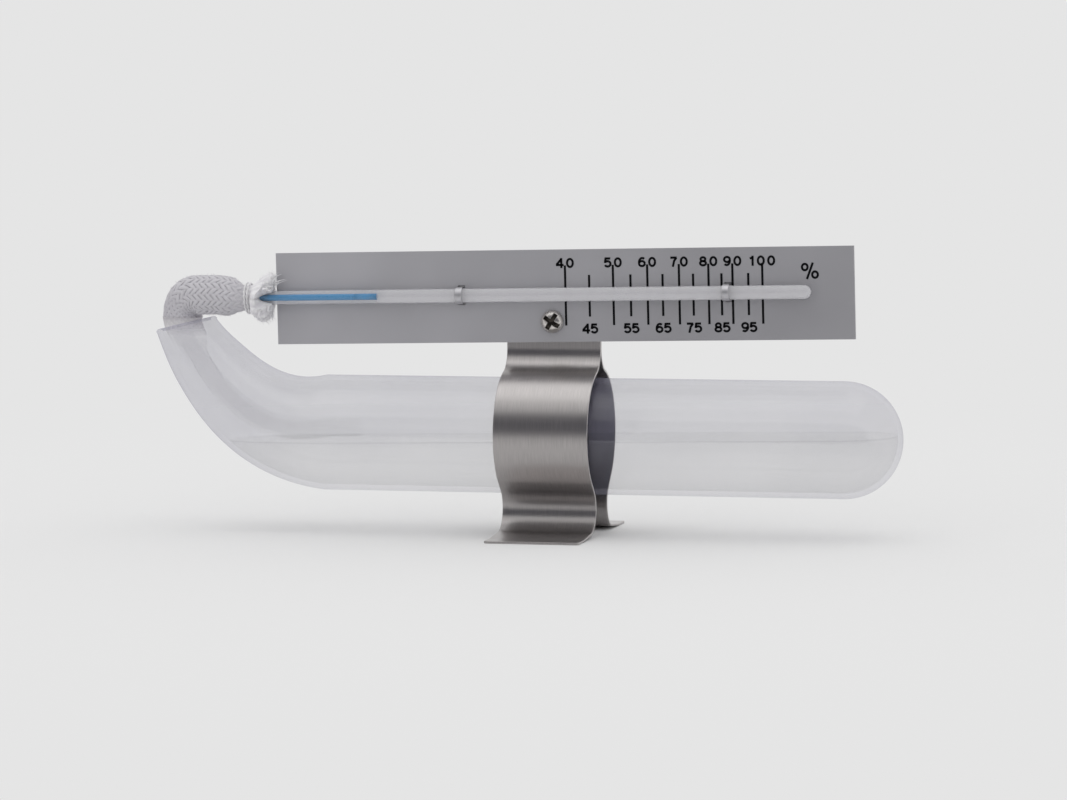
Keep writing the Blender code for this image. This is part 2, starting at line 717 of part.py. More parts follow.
def add_sleeve(cotton, pivot):
    """Cotton sleeve with a ruffled end, and a pocket in which the bulb and stem sit.

    Past the bulb it turns down, and back from the stem's plane to the reservoir's.
    """
    line = sleeve_line()
    stations = sleeve_stations(line_length(line))
    places = resample(line, stations)
    directions = line_directions(places)
    directions[-1] = (0.0, -1.0)
    bulge = sleeve_bulge(stations)
    places += np.column_stack([directions[:, 1], -directions[:, 0]]) * bulge[:, None]
    angles = np.arange(WICK_SIDES) * 2 * math.pi / WICK_SIDES
    bulb_end = ruffle_start_x() - bulb_tip_x() - BULB_RADIUS
    ys = stem_y() * (1 - smooth((stations - bulb_end) / (stations[-1] - bulb_end)))
    rings = []
    for x, radius in bulb_profile(WICK_GAP)[::-1] + [(ruffle_start_x(), STEM_RADIUS + WICK_GAP)]:
        count = WICK_SIDES if radius > 0 else 1
        rings.append(ring((x, STEM_RISE), (-1.0, 0.0), np.full(count, radius), stem_y()))
    radii = sleeve_radii(stations) + bulge
    for along, place, direction, radius, y in zip(stations, places, directions, radii, ys):
        share = min(along / RUFFLE_LENGTH, 1.0)
        wave = RUFFLE_WAVE * math.sin(math.pi * share) * np.cos(RUFFLE_LOBES * angles + 6 * share)
        rings.append(ring(place, direction, radius + wave, y))
    add_piece("wick_sleeve", loft(rings), cotton, pivot)


def add_thread(cotton, pivot):
    """Binding thread: a few turns wound round the sleeve's groove, with rounded ends."""
    radius = groove_radius() + PIECE_GAP + THREAD_RADIUS
    pitch = 2 * THREAD_RADIUS + PIECE_GAP / 3
    steps = SMALL_SIDES * THREAD_TURNS
    angles = np.arange(steps + 1) * 2 * math.pi / SMALL_SIDES
    xs = groove_middle_x() + pitch * (angles / (2 * math.pi) - THREAD_TURNS / 2)
    around = np.arange(6) * math.pi / 3
    rings = []
    for x, angle in zip(xs, angles):
        radial = radius + THREAD_RADIUS * np.cos(around)
        along = x + THREAD_RADIUS * np.sin(around)
        ys = stem_y() + radial * math.cos(angle)
        rings.append(np.column_stack([along, ys, STEM_RISE + radial * math.sin(angle)]))
    add_piece("binding_thread", loft(rings), cotton, pivot)


# Reservoir


def neck_radii(shares):
    """Outer radius of the neck, drawn down evenly from the tube to the mouth."""
    return TUBE_RADIUS + (MOUTH_RADIUS - TUBE_RADIUS) * np.asarray(shares)


def neck_rings(inset):
    """Rings of the neck from bend to mouth, inset from the outside. The last ones lean to the slant."""
    line = neck_line(NECK_RINGS)
    shares = line_shares(line)
    radii = neck_radii(shares) - inset
    rings = []
    for place, direction, share, radius in zip(line, line_directions(line), shares, radii):
        lean = MOUTH_SLANT * smooth(float(3 * share - 2))
        cos, sin = math.cos(lean), math.sin(lean)
        turned_to = (direction[0] * cos + direction[1] * sin, direction[1] * cos - direction[0] * sin)
        rings.append(ring(place, turned_to, np.full(ROUND_SIDES, radius)))
    return rings


def rim_rings(outer, inner):
    """Fire-polished rim between the last outer and the last inner ring: a half round with a small bead."""
    middle = (outer + inner) / 2
    half = (outer - inner) / 2
    side = np.cross(outer[0] - inner[0], outer[ROUND_SIDES // 4] - inner[ROUND_SIDES // 4])
    up = side / np.linalg.norm(side)
    if up[2] < 0:
        up = -up
    height = TUBE_WALL / 2 + RIM_BEAD
    swell = 1 + 2 * RIM_BEAD / TUBE_WALL
    angles = np.linspace(0.0, math.pi, 7)[1:-1]
    return [middle + half * math.cos(a) * swell + up * height * math.sin(a) for a in angles]


def dome_rings(inset):
    """Rings of the tube's round end from its pole to its equator, inset from the outside."""
    profile = round_end(DOME_CENTRE_X, TUBE_RADIUS - inset, 1, DOME_STEPS)[::-1]
    return [ring((x, 0.0), (-1.0, 0.0), np.full(ROUND_SIDES if r > 0 else 1, r)) for x, r in profile]


def add_tube(glass, stand):
    """Reservoir tube as one skin: dome, barrel, neck, rim and back along the inside."""
    outer_neck = neck_rings(0.0)
    inner_neck = neck_rings(TUBE_WALL)
    neck = outer_neck + rim_rings(outer_neck[-1], inner_neck[-1]) + inner_neck[::-1]
    return add_piece("reservoir_tube", loft(dome_rings(0.0) + neck + dome_rings(TUBE_WALL)[::-1]), glass, stand)


def tail_line():
    """Centre line of the wick's tail from the top of its leg to its end in the tube, as (x, z).

    It hangs on the far side of the mouth's middle, joins the neck's centre line a little way in,
    sags towards the lower wall half way down the neck, and floats above the tube's axis at its end.
    """
    leg_x, leg_z = leg_top()
    mouth = Vector(mouth_centre())
    inward = Vector((math.cos(NECK_ANGLE), -math.sin(NECK_ANGLE)))
    corners = [plate_to_stand(leg_x, leg_z - PIECE_GAP), mouth - Vector((WICK_LEG_SHIFT, 0.0))]
    corners.append(mouth + inward * WICK_MOUTH_DEPTH)
    leg = rounded_line(corners, [WICK_RADIUS])
    neck = np.array(neck_line(33))
    shares = line_shares(neck)
    directions = line_directions(neck)
    sag = TAIL_SAG * np.sin(math.pi * shares)[:, None]
    below = np.column_stack([-directions[:, 1], directions[:, 0]])
    inside = shares * line_length(neck) < line_length(neck) - 1.5 * WICK_MOUTH_DEPTH
    neck = (neck + sag * below)[inside][::-1]
    straight = np.column_stack([np.linspace(BEND_START_X, BEND_START_X + TAIL_LENGTH, 6)[1:], np.zeros(5)])
    line = np.vstack([leg, neck, straight])
    line[:, 1] += TAIL_FLOAT * smooth(2 * line_shares(line) - 1)
    return line


def tail_rings(extra):
    """Rings of the tail, grown by extra, from the top of the leg to its rounded end."""
    line = tail_line()
    length = line_length(line)
    end_round = TAIL_RADIUS / 2
    stations = np.append(np.linspace(0.0, length - end_round, TAIL_RINGS), [length - end_round / 3, length])
    places = resample(line, stations)
    directions = line_directions(places)
    directions[0] = (math.sin(PLATE_TILT), -math.cos(PLATE_TILT))
    places[-1] += directions[-1] * extra
    mouth = leg_top()[1] - stand_to_plate(*mouth_centre())[1]
    radii = WICK_RADIUS - (WICK_RADIUS - wick_in_mouth()) * smooth(stations / mouth)
    radii -= (wick_in_mouth() - TAIL_RADIUS) * smooth((stations - mouth) / (length / 2))
    radii[-2:] *= (0.85, 0.45)
    return [ring(p, d, np.full(TAIL_SIDES, r + extra)) for p, d, r in zip(places, directions, radii)]


def add_tail(cotton, stand):
    """The rest of the sleeve: the leg into the mouth, and the tail that lies in the neck and the water."""
    add_piece("wick_tail", loft(tail_rings(0.0)), cotton, stand)


def add_water(liquid, stand):
    """Water with a level top, and a trough where the wick's tail dips in."""
    inset = TUBE_WALL + PIECE_GAP
    rings = dome_rings(inset) + neck_rings(inset)[:WATER_NECK_RINGS]
    water = add_piece("water", loft(rings), liquid, stand)
    reach = DOME_CENTRE_X + 2 * TUBE_RADIUS
    below = box((4 * reach, 4 * TUBE_RADIUS, 4 * TUBE_RADIUS), (0.0, 0.0, WATER_LEVEL - 2 * TUBE_RADIUS))
    cut(water, "water_level", below, stand, "INTERSECT")
    cut(water, "wick_trough", loft(tail_rings(PIECE_GAP)), stand)


def overall_middle(tube):
    """Stand-frame X half way along the tube, which is the longest piece."""
    xs = [vert.co.x for vert in tube.data.vertices]
    return (min(xs) + max(xs)) / 2


def clear_scene():
    """Removes whatever the scene holds."""
    for old in list(bpy.data.objects):
        bpy.data.objects.remove(old, do_unlink=True)


def main():
    """Builds the thermometer."""
    clear_scene()
    steel = material("spring_steel", (0.56, 0.54, 0.53), 0.32, 1.0)
    bright = material("bright_steel", (0.75, 0.74, 0.73), 0.2, 1.0)
    aluminium = material("matt_aluminium", (0.36, 0.36, 0.38), 0.45, 0.6)
    clear = material("clear_glass", (0.9, 0.92, 0.93), 0.05, alpha=0.35)
    milky = material("milky_glass", (0.66, 0.67, 0.67), 0.15, alpha=0.8)
    spirit = material("blue_spirit", (0.06, 0.25, 0.50), 0.2)
    cotton = material("white_cotton", (0.78, 0.77, 0.79), 0.9)
    liquid = material("clear_water", (0.85, 0.9, 0.92), 0.02, alpha=0.3)

    stand = add_empty("stand")
    pivot = add_empty("scale_pivot", stand, (0.0, 0.0, screw_height()), -PLATE_TILT)
    spirit_end = add_empty("spirit_end", pivot, (SPIRIT_END_X, stem_y(), STEM_RISE))

    add_jaw("front_jaw", -1, steel, stand)
    add_jaw("rear_jaw", 1, steel, stand)
    add_screw(bright, stand)
    add_plate(aluminium, pivot)
    add_ties(bright, pivot)
    add_glass(milky, pivot)
    add_spirit(spirit, pivot, spirit_end)
    add_sleeve(cotton, pivot)
    add_thread(cotton, pivot)
    tube = add_tube(clear, stand)
    add_tail(cotton, stand)
    add_water(liquid, stand)

    stand.location = (-overall_middle(tube), 0.0, standing_height())


main()
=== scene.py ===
"""Looks of a wet-bulb thermometer that stands on a spring clip.

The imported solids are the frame. Finer surfaces are worked out here as whole arrays of points, in
metres in the row frame: X along the tube, Y away from the viewer, Z up. The stand frame has its
origin on the tube's axis, and the plate frame runs from the screw along the tilted scale plate.
"""

import logging
import math
from dataclasses import dataclass, field
from enum import Enum
from typing import Any, Iterable

import bpy
import numpy as np
from mathutils import Matrix, Vector, geometry


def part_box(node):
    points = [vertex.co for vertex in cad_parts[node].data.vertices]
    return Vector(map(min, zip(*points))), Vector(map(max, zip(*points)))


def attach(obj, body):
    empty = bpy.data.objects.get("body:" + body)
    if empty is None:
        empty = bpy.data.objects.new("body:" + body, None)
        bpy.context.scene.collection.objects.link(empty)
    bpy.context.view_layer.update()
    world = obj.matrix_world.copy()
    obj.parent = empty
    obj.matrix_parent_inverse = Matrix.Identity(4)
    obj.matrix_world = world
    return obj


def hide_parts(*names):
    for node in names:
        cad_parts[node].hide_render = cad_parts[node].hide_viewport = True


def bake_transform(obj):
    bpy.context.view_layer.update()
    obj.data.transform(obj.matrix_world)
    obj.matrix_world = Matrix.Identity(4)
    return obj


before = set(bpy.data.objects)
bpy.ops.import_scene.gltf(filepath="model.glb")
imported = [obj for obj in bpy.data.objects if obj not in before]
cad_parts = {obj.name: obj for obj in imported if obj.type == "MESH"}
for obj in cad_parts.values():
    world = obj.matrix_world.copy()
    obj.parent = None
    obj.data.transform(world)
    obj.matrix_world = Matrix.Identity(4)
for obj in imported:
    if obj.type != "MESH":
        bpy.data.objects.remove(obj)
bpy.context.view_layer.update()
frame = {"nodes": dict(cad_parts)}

Material = bpy.types.Material
Piece = bpy.types.Object
Socket = bpy.types.NodeSocket
Colour = tuple[int, int, int]

LOG = logging.getLogger("wet_bulb")
MM = 0.001
STAND_SHIFT = np.array([6.7889, 0.0, 21.0734]) * MM
SCREW_HEIGHT = 24.6775 * MM
PLATE_TILT = math.radians(1.11)
TILT_COS, TILT_SIN = math.cos(PLATE_TILT), math.sin(PLATE_TILT)
PLATE_WAY = np.array([TILT_COS, 0.0, TILT_SIN])
STEM_Y = -3.2 * MM
STEM_RISE = 5.85 * MM
STEM_RADIUS = 1.55 * MM
BULB_TIP = -79.54 * MM
BULB_RADIUS = 2.4 * MM
BULB_SHOULDER = -71.04 * MM
TUBE_RADIUS = 12.5 * MM
TUBE_WALL = 1.2 * MM
QUAD = np.array([[0, 1, 2, 3]])
WHITE = (1.0, 1.0, 1.0, 1.0)
RIGHT, BACKWARD, DOWN = (1.0, 0.0, 0.0), (0.0, 1.0, 0.0), (0.0, 0.0, -1.0)


# Lines and frames


def smooth(share: Any) -> Any:
    """Smooth step from 0 to 1."""
    share = np.clip(share, 0.0, 1.0)
    return share * share * (3 - 2 * share)


def unit(rows: np.ndarray) -> np.ndarray:
    """Rows divided by their lengths."""
    return rows / np.linalg.norm(rows, axis=-1, keepdims=True)


def circle(count: int) -> np.ndarray:
    """Angles of points spread evenly round a circle."""
    return np.arange(count) * 2 * math.pi / count


def left_of(ways: np.ndarray) -> np.ndarray:
    """Flat directions turned a quarter to the left."""
    return np.column_stack([-ways[:, 1], ways[:, 0]])


def plate_to_stand(x: Any, z: Any) -> tuple[Any, Any]:
    """Stand-frame X and Z of plate-frame X and Z."""
    return x * TILT_COS - z * TILT_SIN, x * TILT_SIN + z * TILT_COS + SCREW_HEIGHT


def stand_to_plate(x: float, z: float) -> tuple[float, float]:
    """Plate-frame X and Z of stand-frame X and Z."""
    up = z - SCREW_HEIGHT
    return x * TILT_COS + up * TILT_SIN, up * TILT_COS - x * TILT_SIN


def plate_points(points: np.ndarray) -> np.ndarray:
    """Row-frame points of plate-frame points, both as rows of x, y, z."""
    x, z = plate_to_stand(points[..., 0], points[..., 2])
    return np.stack([x, points[..., 1], z], axis=-1) + STAND_SHIFT


def arc(
    centre: tuple[float, float], radius: float, start: float, end: float, count: int
) -> np.ndarray:
    """Points on an arc.

    Args:
        centre: The arc's centre.
        radius: Its radius.
        start: First angle, in radians.
        end: Last angle.
        count: How many points, both ends included.

    Returns:
        Rows of two coordinates.
    """
    angles = np.linspace(start, end, count)
    return np.column_stack([np.cos(angles), np.sin(angles)]) * radius + centre


def lengths_along(line: np.ndarray) -> np.ndarray:
    """Length of a line up to each of its points."""
    steps = np.linalg.norm(np.diff(line, axis=0), axis=1)
    return np.concatenate([[0.0], np.cumsum(steps)])


def read_off(places: np.ndarray, stations: np.ndarray, table: np.ndarray) -> np.ndarray:
    """Rows of a table, given at stations, read off in between at other places."""
    return np.stack([np.interp(places, stations, column) for column in table.T], axis=-1)


def resample(line: np.ndarray, stations: np.ndarray) -> np.ndarray:
    """Points of a line at given lengths from its start."""
    return read_off(stations, lengths_along(line), line)


def directions(line: np.ndarray) -> np.ndarray:
    """Unit direction of a line at each of its points."""
    return unit(np.gradient(line, axis=0))


def rounded_line(
    corners: Iterable[tuple[float, float]], radii: list[float], count: int = 24
) -> np.ndarray:
    """A flat line through corners, with its inner corners rounded.

    Args:
        corners: The line's corners.
        radii: Radius at each inner corner.
        count: Points on each rounded corner.

    Returns:
        Rows of two coordinates.
    """
    points = [Vector(corner) for corner in corners]
    line = [np.array([points[0]])]
    for before, corner, after, radius in zip(points, points[1:], points[2:], radii):
        to_before = (before - corner).normalized()
        to_after = (after - corner).normalized()
        half = to_before.angle(to_after) / 2
        middle = corner + (to_before + to_after).normalized() * radius / math.sin(half)
        first = corner + to_before * radius / math.tan(half) - middle
        last = corner + to_after * radius / math.tan(half) - middle
        start = math.atan2(first.y, first.x)
        turn = math.atan2(first.cross(last), first.dot(last))
        line.append(arc(tuple(middle), radius, start, start + turn, count))
    line.append(np.array([points[-1]]))
    return np.vstack(line)


# Surfaces


@dataclass
class Skin:
    """Points and faces gathered into one mesh."""

    points: list[np.ndarray] = field(default_factory=list)
    faces: list[np.ndarray] = field(default_factory=list)
    marks: list[np.ndarray] = field(default_factory=list)
    size: int = 0

    def add(
        self, points: np.ndarray, faces: Iterable[np.ndarray], marks: np.ndarray | None = None
    ) -> None:
        """Adds points with the faces between them.

        Args:
            points: Rows of x, y, z.
            faces: Arrays of three or four point numbers a row.
            marks: Three numbers for each point, for the finish to read.
        """
        flat = points.reshape(-1, 3)
        self.points.append(flat)
        self.marks.append(np.zeros_like(flat) if marks is None else marks.reshape(-1, 3))
        self.faces += [block + self.size for block in faces]
        self.size += len(flat)

    def add_grid(
        self,
        grid: np.ndarray,
        marks: np.ndarray | None = None,
        capped: bool = True,
        round_rows: bool = True,
    ) -> None:
        """Adds a grid of points as a skin.

        Args:
            grid: Points as rows of a ring each.
            marks: Three numbers for each point.
            capped: Whether both ends are closed by a fan about the end ring's middle.
            round_rows: Whether each row closes on itself.
        """
        rows, columns = grid.shape[:2]
        numbers = np.arange(rows * columns).reshape(rows, columns)
        if round_rows:
            numbers = np.hstack([numbers, numbers[:, :1]])
        one, other = numbers[:-1], numbers[1:]
        quads = np.stack([one[:, :-1], one[:, 1:], other[:, 1:], other[:, :-1]], axis=-1)
        marks = np.zeros(grid.shape) if marks is None else marks
        faces = [quads.reshape(-1, 4)]
        points, mark_rows = [grid.reshape(-1, 3)], [marks.reshape(-1, 3)]
        if capped:
            for ring, way in ((0, -1), (rows - 1, 1)):
                loop = numbers[ring]
                pole = np.full(len(loop) - 1, rows * columns + len(points) - 1)
                faces.append(np.stack([loop[:-1], loop[1:], pole], axis=-1)[:, ::way])
                points.append(grid[ring].mean(axis=0)[None])
                mark_rows.append(marks[ring].mean(axis=0)[None])
        self.add(np.vstack(points), faces, np.vstack(mark_rows))

    def build(self, name: str, finish: Material, flat: bool = False) -> Piece:
        """Makes the mesh object.

        Args:
            name: The piece's name.
            finish: Its material.
            flat: Whether its faces are flat shaded.

        Returns:
            The piece, at the origin.
        """
        mesh = bpy.data.meshes.new(name)
        points = np.vstack(self.points)
        counts = np.concatenate([np.full(len(block), block.shape[1]) for block in self.faces])
        corners = np.concatenate([block.ravel() for block in self.faces])
        starts = np.concatenate([[0], np.cumsum(counts)[:-1]])
        mesh.vertices.add(len(points))
        mesh.vertices.foreach_set("co", points.ravel().astype(np.float32))
        mesh.loops.add(len(corners))
        mesh.loops.foreach_set("vertex_index", corners.astype(np.int32))
        mesh.polygons.add(len(counts))
        mesh.polygons.foreach_set("loop_start", starts.astype(np.int32))
        mesh.update(calc_edges=True)
        mesh.validate()
        layer = mesh.attributes.new("marks", "FLOAT_VECTOR", "POINT")
        layer.data.foreach_set("vector", np.vstack(self.marks).ravel().astype(np.float32))
        if not flat:
            mesh.shade_smooth()
        mesh.materials.append(finish)
        piece = bpy.data.objects.new(name, mesh)
        bpy.context.scene.collection.objects.link(piece)
        return piece


def marks_of(grid: np.ndarray, first: Any = 0.0, second: Any = 0.0, third: Any = 0.0) -> np.ndarray:
    """Marks for a grid's points.

    Args:
        grid: The grid.
        first: The first mark, one number or an array that fits the grid.
        second: The second mark, likewise.
        third: The third mark, likewise.

    Returns:
        Three numbers for each point.
    """
    marks = np.zeros(grid.shape)
    marks[..., 0], marks[..., 1], marks[..., 2] = first, second, third
    return marks


def skin_piece(
    name: str,
    grid: np.ndarray,
    finish: Material,
    marks: np.ndarray | None = None,
    turn: bool = False,
) -> Piece:
    """Builds a piece of one grid, closed at both ends.

    Args:
        name: The piece's name.
        grid: Points as rows of a ring each.
        finish: Its material.
        marks: Three numbers for each point.
        turn: Whether the rings are taken the other way round, so that their faces point outwards.

    Returns:
        The piece.
    """
    way = -1 if turn else 1
    skin = Skin()
    skin.add_grid(grid[:, ::way], None if marks is None else marks[:, ::way])
    return skin.build(name, finish)


def ring_about(
    places: np.ndarray, sides: np.ndarray, ups: np.ndarray, radii: Any, count: int
) -> np.ndarray:
    """Rings of points about the points of a line.

    Args:
        places: Line points.
        sides: First cross direction, one for all or one at each.
        ups: Second cross direction, likewise.
        radii: Radius, likewise.
        count: Points in a ring.

    Returns:
        A grid of points.
    """
    angles = circle(count)[:, None]
    side, up = np.atleast_2d(sides)[:, None], np.atleast_2d(ups)[:, None]
    out = side * np.cos(angles) + up * np.sin(angles)
    return places[:, None] + out * np.reshape(radii, (-1, 1, 1))


def turned_grid(profile: np.ndarray, count: int, axis: int = 0) -> np.ndarray:
    """Grid of a surface turned about the X or Y axis.

    Args:
        profile: Rows of place along the axis and radius.
        count: Points round the axis.
        axis: 0 to turn about X, 1 about Y.

    Returns:
        A grid of points.
    """
    angles = circle(count)
    along = np.repeat(profile[:, :1], count, axis=1)
    cos, sin = profile[:, 1:] * np.cos(angles), profile[:, 1:] * np.sin(angles)
    return np.stack([along, cos, sin] if axis == 0 else [cos, along, -sin], axis=-1)


def half_round(centre: float, radius: float, toward: int, count: int) -> np.ndarray:
    """Profile of a half-round end, from its equator to just short of its pole.

    Args:
        centre: Place of the equator along the axis.
        radius: Its radius.
        toward: Side on which the pole lies, -1 or 1.
        count: Number of points.

    Returns:
        Rows of place and radius.
    """
    angles = np.linspace(0.0, math.pi / 2, count + 1)[:-1]
    return np.column_stack([centre + toward * radius * np.sin(angles), radius * np.cos(angles)])


# Finishes


class Graph:
    """A node tree of a material or world, with short calls for the nodes that the looks use."""

    def __init__(self, owner: Any, kind: str = "Material") -> None:
        """Empties a node tree and gives it an output.

        Args:
            owner: The material or world that has the tree.
            kind: The output's kind, "Material" or "World".
        """
        self.owner = owner
        owner.use_nodes = True
        self.tree = owner.node_tree
        self.tree.nodes.clear()
        self.output = self.tree.nodes.new("ShaderNodeOutput" + kind)

    def add(self, kind: str, sockets: dict[Any, Any] | None = None, **settings: Any) -> Any:
        """Adds a node.

        Args:
            kind: Node type without its ShaderNode prefix.
            sockets: Input name or number, and a value or another node's output.
            **settings: The node's own options.

        Returns:
            The node's outputs.
        """
        node = self.tree.nodes.new("ShaderNode" + kind)
        for key, value in settings.items():
            setattr(node, key, value)
        for key, value in (sockets or {}).items():
            if isinstance(value, Socket):
                self.tree.links.new(value, node.inputs[key])
            else:
                node.inputs[key].default_value = value
        return node.outputs

    def times(self, one: Any, other: Any) -> Socket:
        """One vector or colour times another, number by number."""
        return self.add("VectorMath", {0: one, 1: other}, operation="MULTIPLY")[0]

    def place(self, stretch: tuple[float, float, float] = (1.0, 1.0, 1.0)) -> Socket:
        """Object coordinates in metres, multiplied along each axis."""
        return self.times(self.add("TexCoord")["Object"], stretch)

    def marks(self, stretch: tuple[float, float, float] = (1.0, 1.0, 1.0)) -> Socket:
        """The piece's own marks, multiplied along each axis."""
        return self.times(self.add("Attribute", attribute_name="marks")["Vector"], stretch)

    def parts(self, vector: Socket) -> Any:
        """The three numbers of a vector, as outputs."""
        return self.add("SeparateXYZ", {0: vector})

    def maths(self, operation: str, one: Any, other: Any, clamp: bool = False) -> Socket:
        """Two numbers joined by an operation, clamped to 0 to 1 if wanted."""
        return self.add("Math", {0: one, 1: other}, operation=operation, use_clamp=clamp)[0]

    def noise(self, place: Socket, scale: float, detail: float = 2.0) -> Socket:
        """Noise over a place, as a number from 0 to 1."""
        return self.add("TexNoise", {"Vector": place, "Scale": scale, "Detail": detail})[0]

    def spread(
        self, value: Socket, low: Any, high: Any, start: float = 0.3, end: float = 0.7
    ) -> Socket:
        """Maps a number from start and end to low and high."""
        return self.add("MapRange", {"Value": value, 1: start, 2: end, 3: low, 4: high})[0]

    def mix(self, share: Any, one: Any, other: Any) -> Socket:
        """Mixes two colours by a share."""
        return self.add("Mix", {0: share, 6: one, 7: other}, data_type="RGBA")[2]

    def mix_shaders(self, share: Any, one: Socket, other: Socket) -> Socket:
        """Mixes two shaders by a share."""
        return self.add("MixShader", {0: share, 1: one, 2: other})[0]

    def facing(self) -> Socket:
        """0 where the surface faces the eye, 1 at its edges."""
        return self.add("LayerWeight", {"Blend": 0.5})["Facing"]

    def bump(self, height: Socket, distance: float, strength: float) -> Socket:
        """Turns a height into a bumped normal, distance in metres."""
        return self.add("Bump", {"Height": height, "Distance": distance, "Strength": strength})[0]

    def show(self, shader: Socket) -> Any:
        """Joins a shader to the output and returns the material or world."""
        self.tree.links.new(shader, self.output.inputs["Surface"])
        return self.owner

    def principled(
        self, colour: Any, roughness: Any, sockets: dict[str, Any] | None = None
    ) -> Socket:
        """A principled shader of a colour, a roughness and other inputs by name."""
        both = {"Base Color": colour, "Roughness": roughness, **(sockets or {})}
        return self.add("BsdfPrincipled", both)[0]


def new_graph(name: str) -> Graph:
    """The graph of a new material."""
    return Graph(bpy.data.materials.new(name))


def rgba(red: int, green: int, blue: int) -> tuple[float, float, float, float]:
    """Linear colour of a display colour.

    Args:
        red: Red from 0 to 255.
        green: Green, likewise.
        blue: Blue, likewise.

    Returns:
        Red, green, blue and 1.
    """
    shares = np.array([red, green, blue]) / 255
    linear = np.where(shares <= 0.04045, shares / 12.92, ((shares + 0.055) / 1.055) ** 2.4)
    return (*[float(v) for v in linear], 1.0)


def dimmed(colour: tuple[float, float, float, float], share: float) -> tuple[float, ...]:
    """A linear colour times a share."""
    return tuple(share * v for v in colour[:3]) + (1.0,)


@dataclass(frozen=True)
class BrushedSteel:
    """Spring steel, brushed along the strip and scuffed by use."""

    colour: Colour = (186, 182, 181)
    dull: float = 0.82
    grain: float = 9000.0
    grain_stretch: float = 0.03
    scuffs: float = 160.0
    roughness: float = 0.3

    def build(self) -> Material:
        """Builds the material.

        Returns:
            The material.
        """
        graph = new_graph("spring_steel_finish")
        grain = graph.noise(graph.marks((1.0, self.grain_stretch, 1.0)), self.grain)
        cloud = graph.noise(graph.place(), self.scuffs)
        rough = graph.spread(cloud, self.roughness, self.roughness + 0.05, 0.1, 0.9)
        base = rgba(*self.colour)
        colour = graph.mix(graph.spread(grain, 0.0, 1.0), dimmed(base, self.dull), base)
        others = {"Metallic": 1.0, "Normal": graph.bump(grain, 6e-6, 0.5)}
        return graph.show(graph.principled(colour, rough, others))


@dataclass(frozen=True)
class BrightSteel:
    """Plated steel of the screw, its nut and washer, and the ties. The third mark is a share of
    painted shade, in the screw's cross and on the ties' legs.
    """

    name: str = "bright_steel_finish"
    colour: Colour = (214, 210, 206)
    dirt: Colour = (66, 62, 58)
    roughness: float = 0.24

    def build(self) -> Material:
        """Builds the material.

        Returns:
            The material.
        """
        graph = new_graph(self.name)
        cloud = graph.noise(graph.place(), 1800.0, 3.0)
        rough = graph.spread(cloud, self.roughness, self.roughness + 0.14)
        # Painted shade: the third mark mixes in the dark colour.
        colour = graph.mix(graph.parts(graph.marks())[2], rgba(*self.colour), rgba(*self.dirt))
        others = {"Metallic": 1.0, "Normal": graph.bump(cloud, 8e-6, 0.4)}
        return graph.show(graph.principled(colour, rough, others))


@dataclass(frozen=True)
class SatinSheet:
    """Satin aluminium of the scale plate, with painted shade that darkens it towards its right end.
    """

    colour: Colour = (174, 173, 178)
    cloud_share: float = 0.88
    dull_share: float = 0.77
    dull_from: float = -0.045
    dull_to: float = 0.035
    roughness: float = 0.46

    def build(self) -> Material:
        """Builds the material.

        Returns:
            The material.
        """
        graph = new_graph("plate_finish")
        fine = graph.noise(graph.place(), 9000.0)
        cloud = graph.spread(graph.noise(graph.place(), 45.0), 0.0, 1.0)
        base = rgba(*self.colour)
        # Painted shade: the colour darkens towards the plate's right end.
        painted_shade_ramp = graph.spread(graph.parts(graph.place())[0], 0.0, 1.0, self.dull_from, self.dull_to)
        shade = graph.mix(painted_shade_ramp, WHITE, dimmed(WHITE, self.dull_share))
        colour = graph.times(graph.mix(cloud, dimmed(base, self.cloud_share), base), shade)
        rough = graph.spread(fine, self.roughness - 0.05, self.roughness + 0.08)
        others = {"Metallic": 0.1, "Normal": graph.bump(fine, 5e-6, 0.35)}
        return graph.show(graph.principled(colour, rough, others))


@dataclass(frozen=True)
class PlainPaint:
    """A plain non-metal finish: the scale's ink, the blue spirit or a studio surface."""

    name: str
    colour: Colour
    roughness: float = 0.5
    shine: float = 0.1

    def build(self) -> Material:
        """Builds the material.

        Returns:
            The material.
        """
        graph = new_graph(self.name)
        shine = {"Specular IOR Level": self.shine}
        return graph.show(graph.principled(rgba(*self.colour), self.roughness, shine))


@dataclass(frozen=True)
class ThinClear:
    """Clear wall that doesn't bend what lies behind it, with a little haze, more at its edges.

    The marks hold a point's share of the cover, further cover, and a share of the dark colour,
    which paints shade.
    """

    name: str
    colour: Colour
    cover: float
    edge_cover: float
    gloss: float = 0.03
    edge_gloss: float = 0.2
    dark: Colour = (90, 90, 96)
    cloud_stretch: tuple[float, float, float] = (1.0, 1.0, 2.2)
    cloud_size: float = 28.0
    cloud_depth: float = 0.14

    def build(self) -> Material:
        """Builds the material.

        Returns:
            The material.
        """
        graph = new_graph(self.name)
        steep = graph.maths("POWER", graph.facing(), 4.0)
        share, more, darker = graph.parts(graph.marks())
        cover = graph.spread(steep, self.cover, self.edge_cover, 0.0, 1.0)
        cloud = graph.noise(graph.place(self.cloud_stretch), self.cloud_size)
        soft = graph.spread(cloud, 1 - self.cloud_depth, 1 + self.cloud_depth)
        cover = graph.maths("MULTIPLY", graph.maths("MULTIPLY", cover, share), soft)
        cover = graph.maths("ADD", cover, more, clamp=True)
        colour = graph.mix(darker, rgba(*self.colour), rgba(*self.dark))
        haze = graph.add("BsdfDiffuse", {"Color": colour})[0]
        wall = graph.mix_shaders(cover, graph.add("BsdfTransparent")[0], haze)
        gloss = graph.add("BsdfGlossy", {"Roughness": 0.03})[0]
        shine = graph.spread(steep, self.gloss, self.edge_gloss, 0.0, 1.0)
        return graph.show(graph.mix_shaders(shine, wall, gloss))


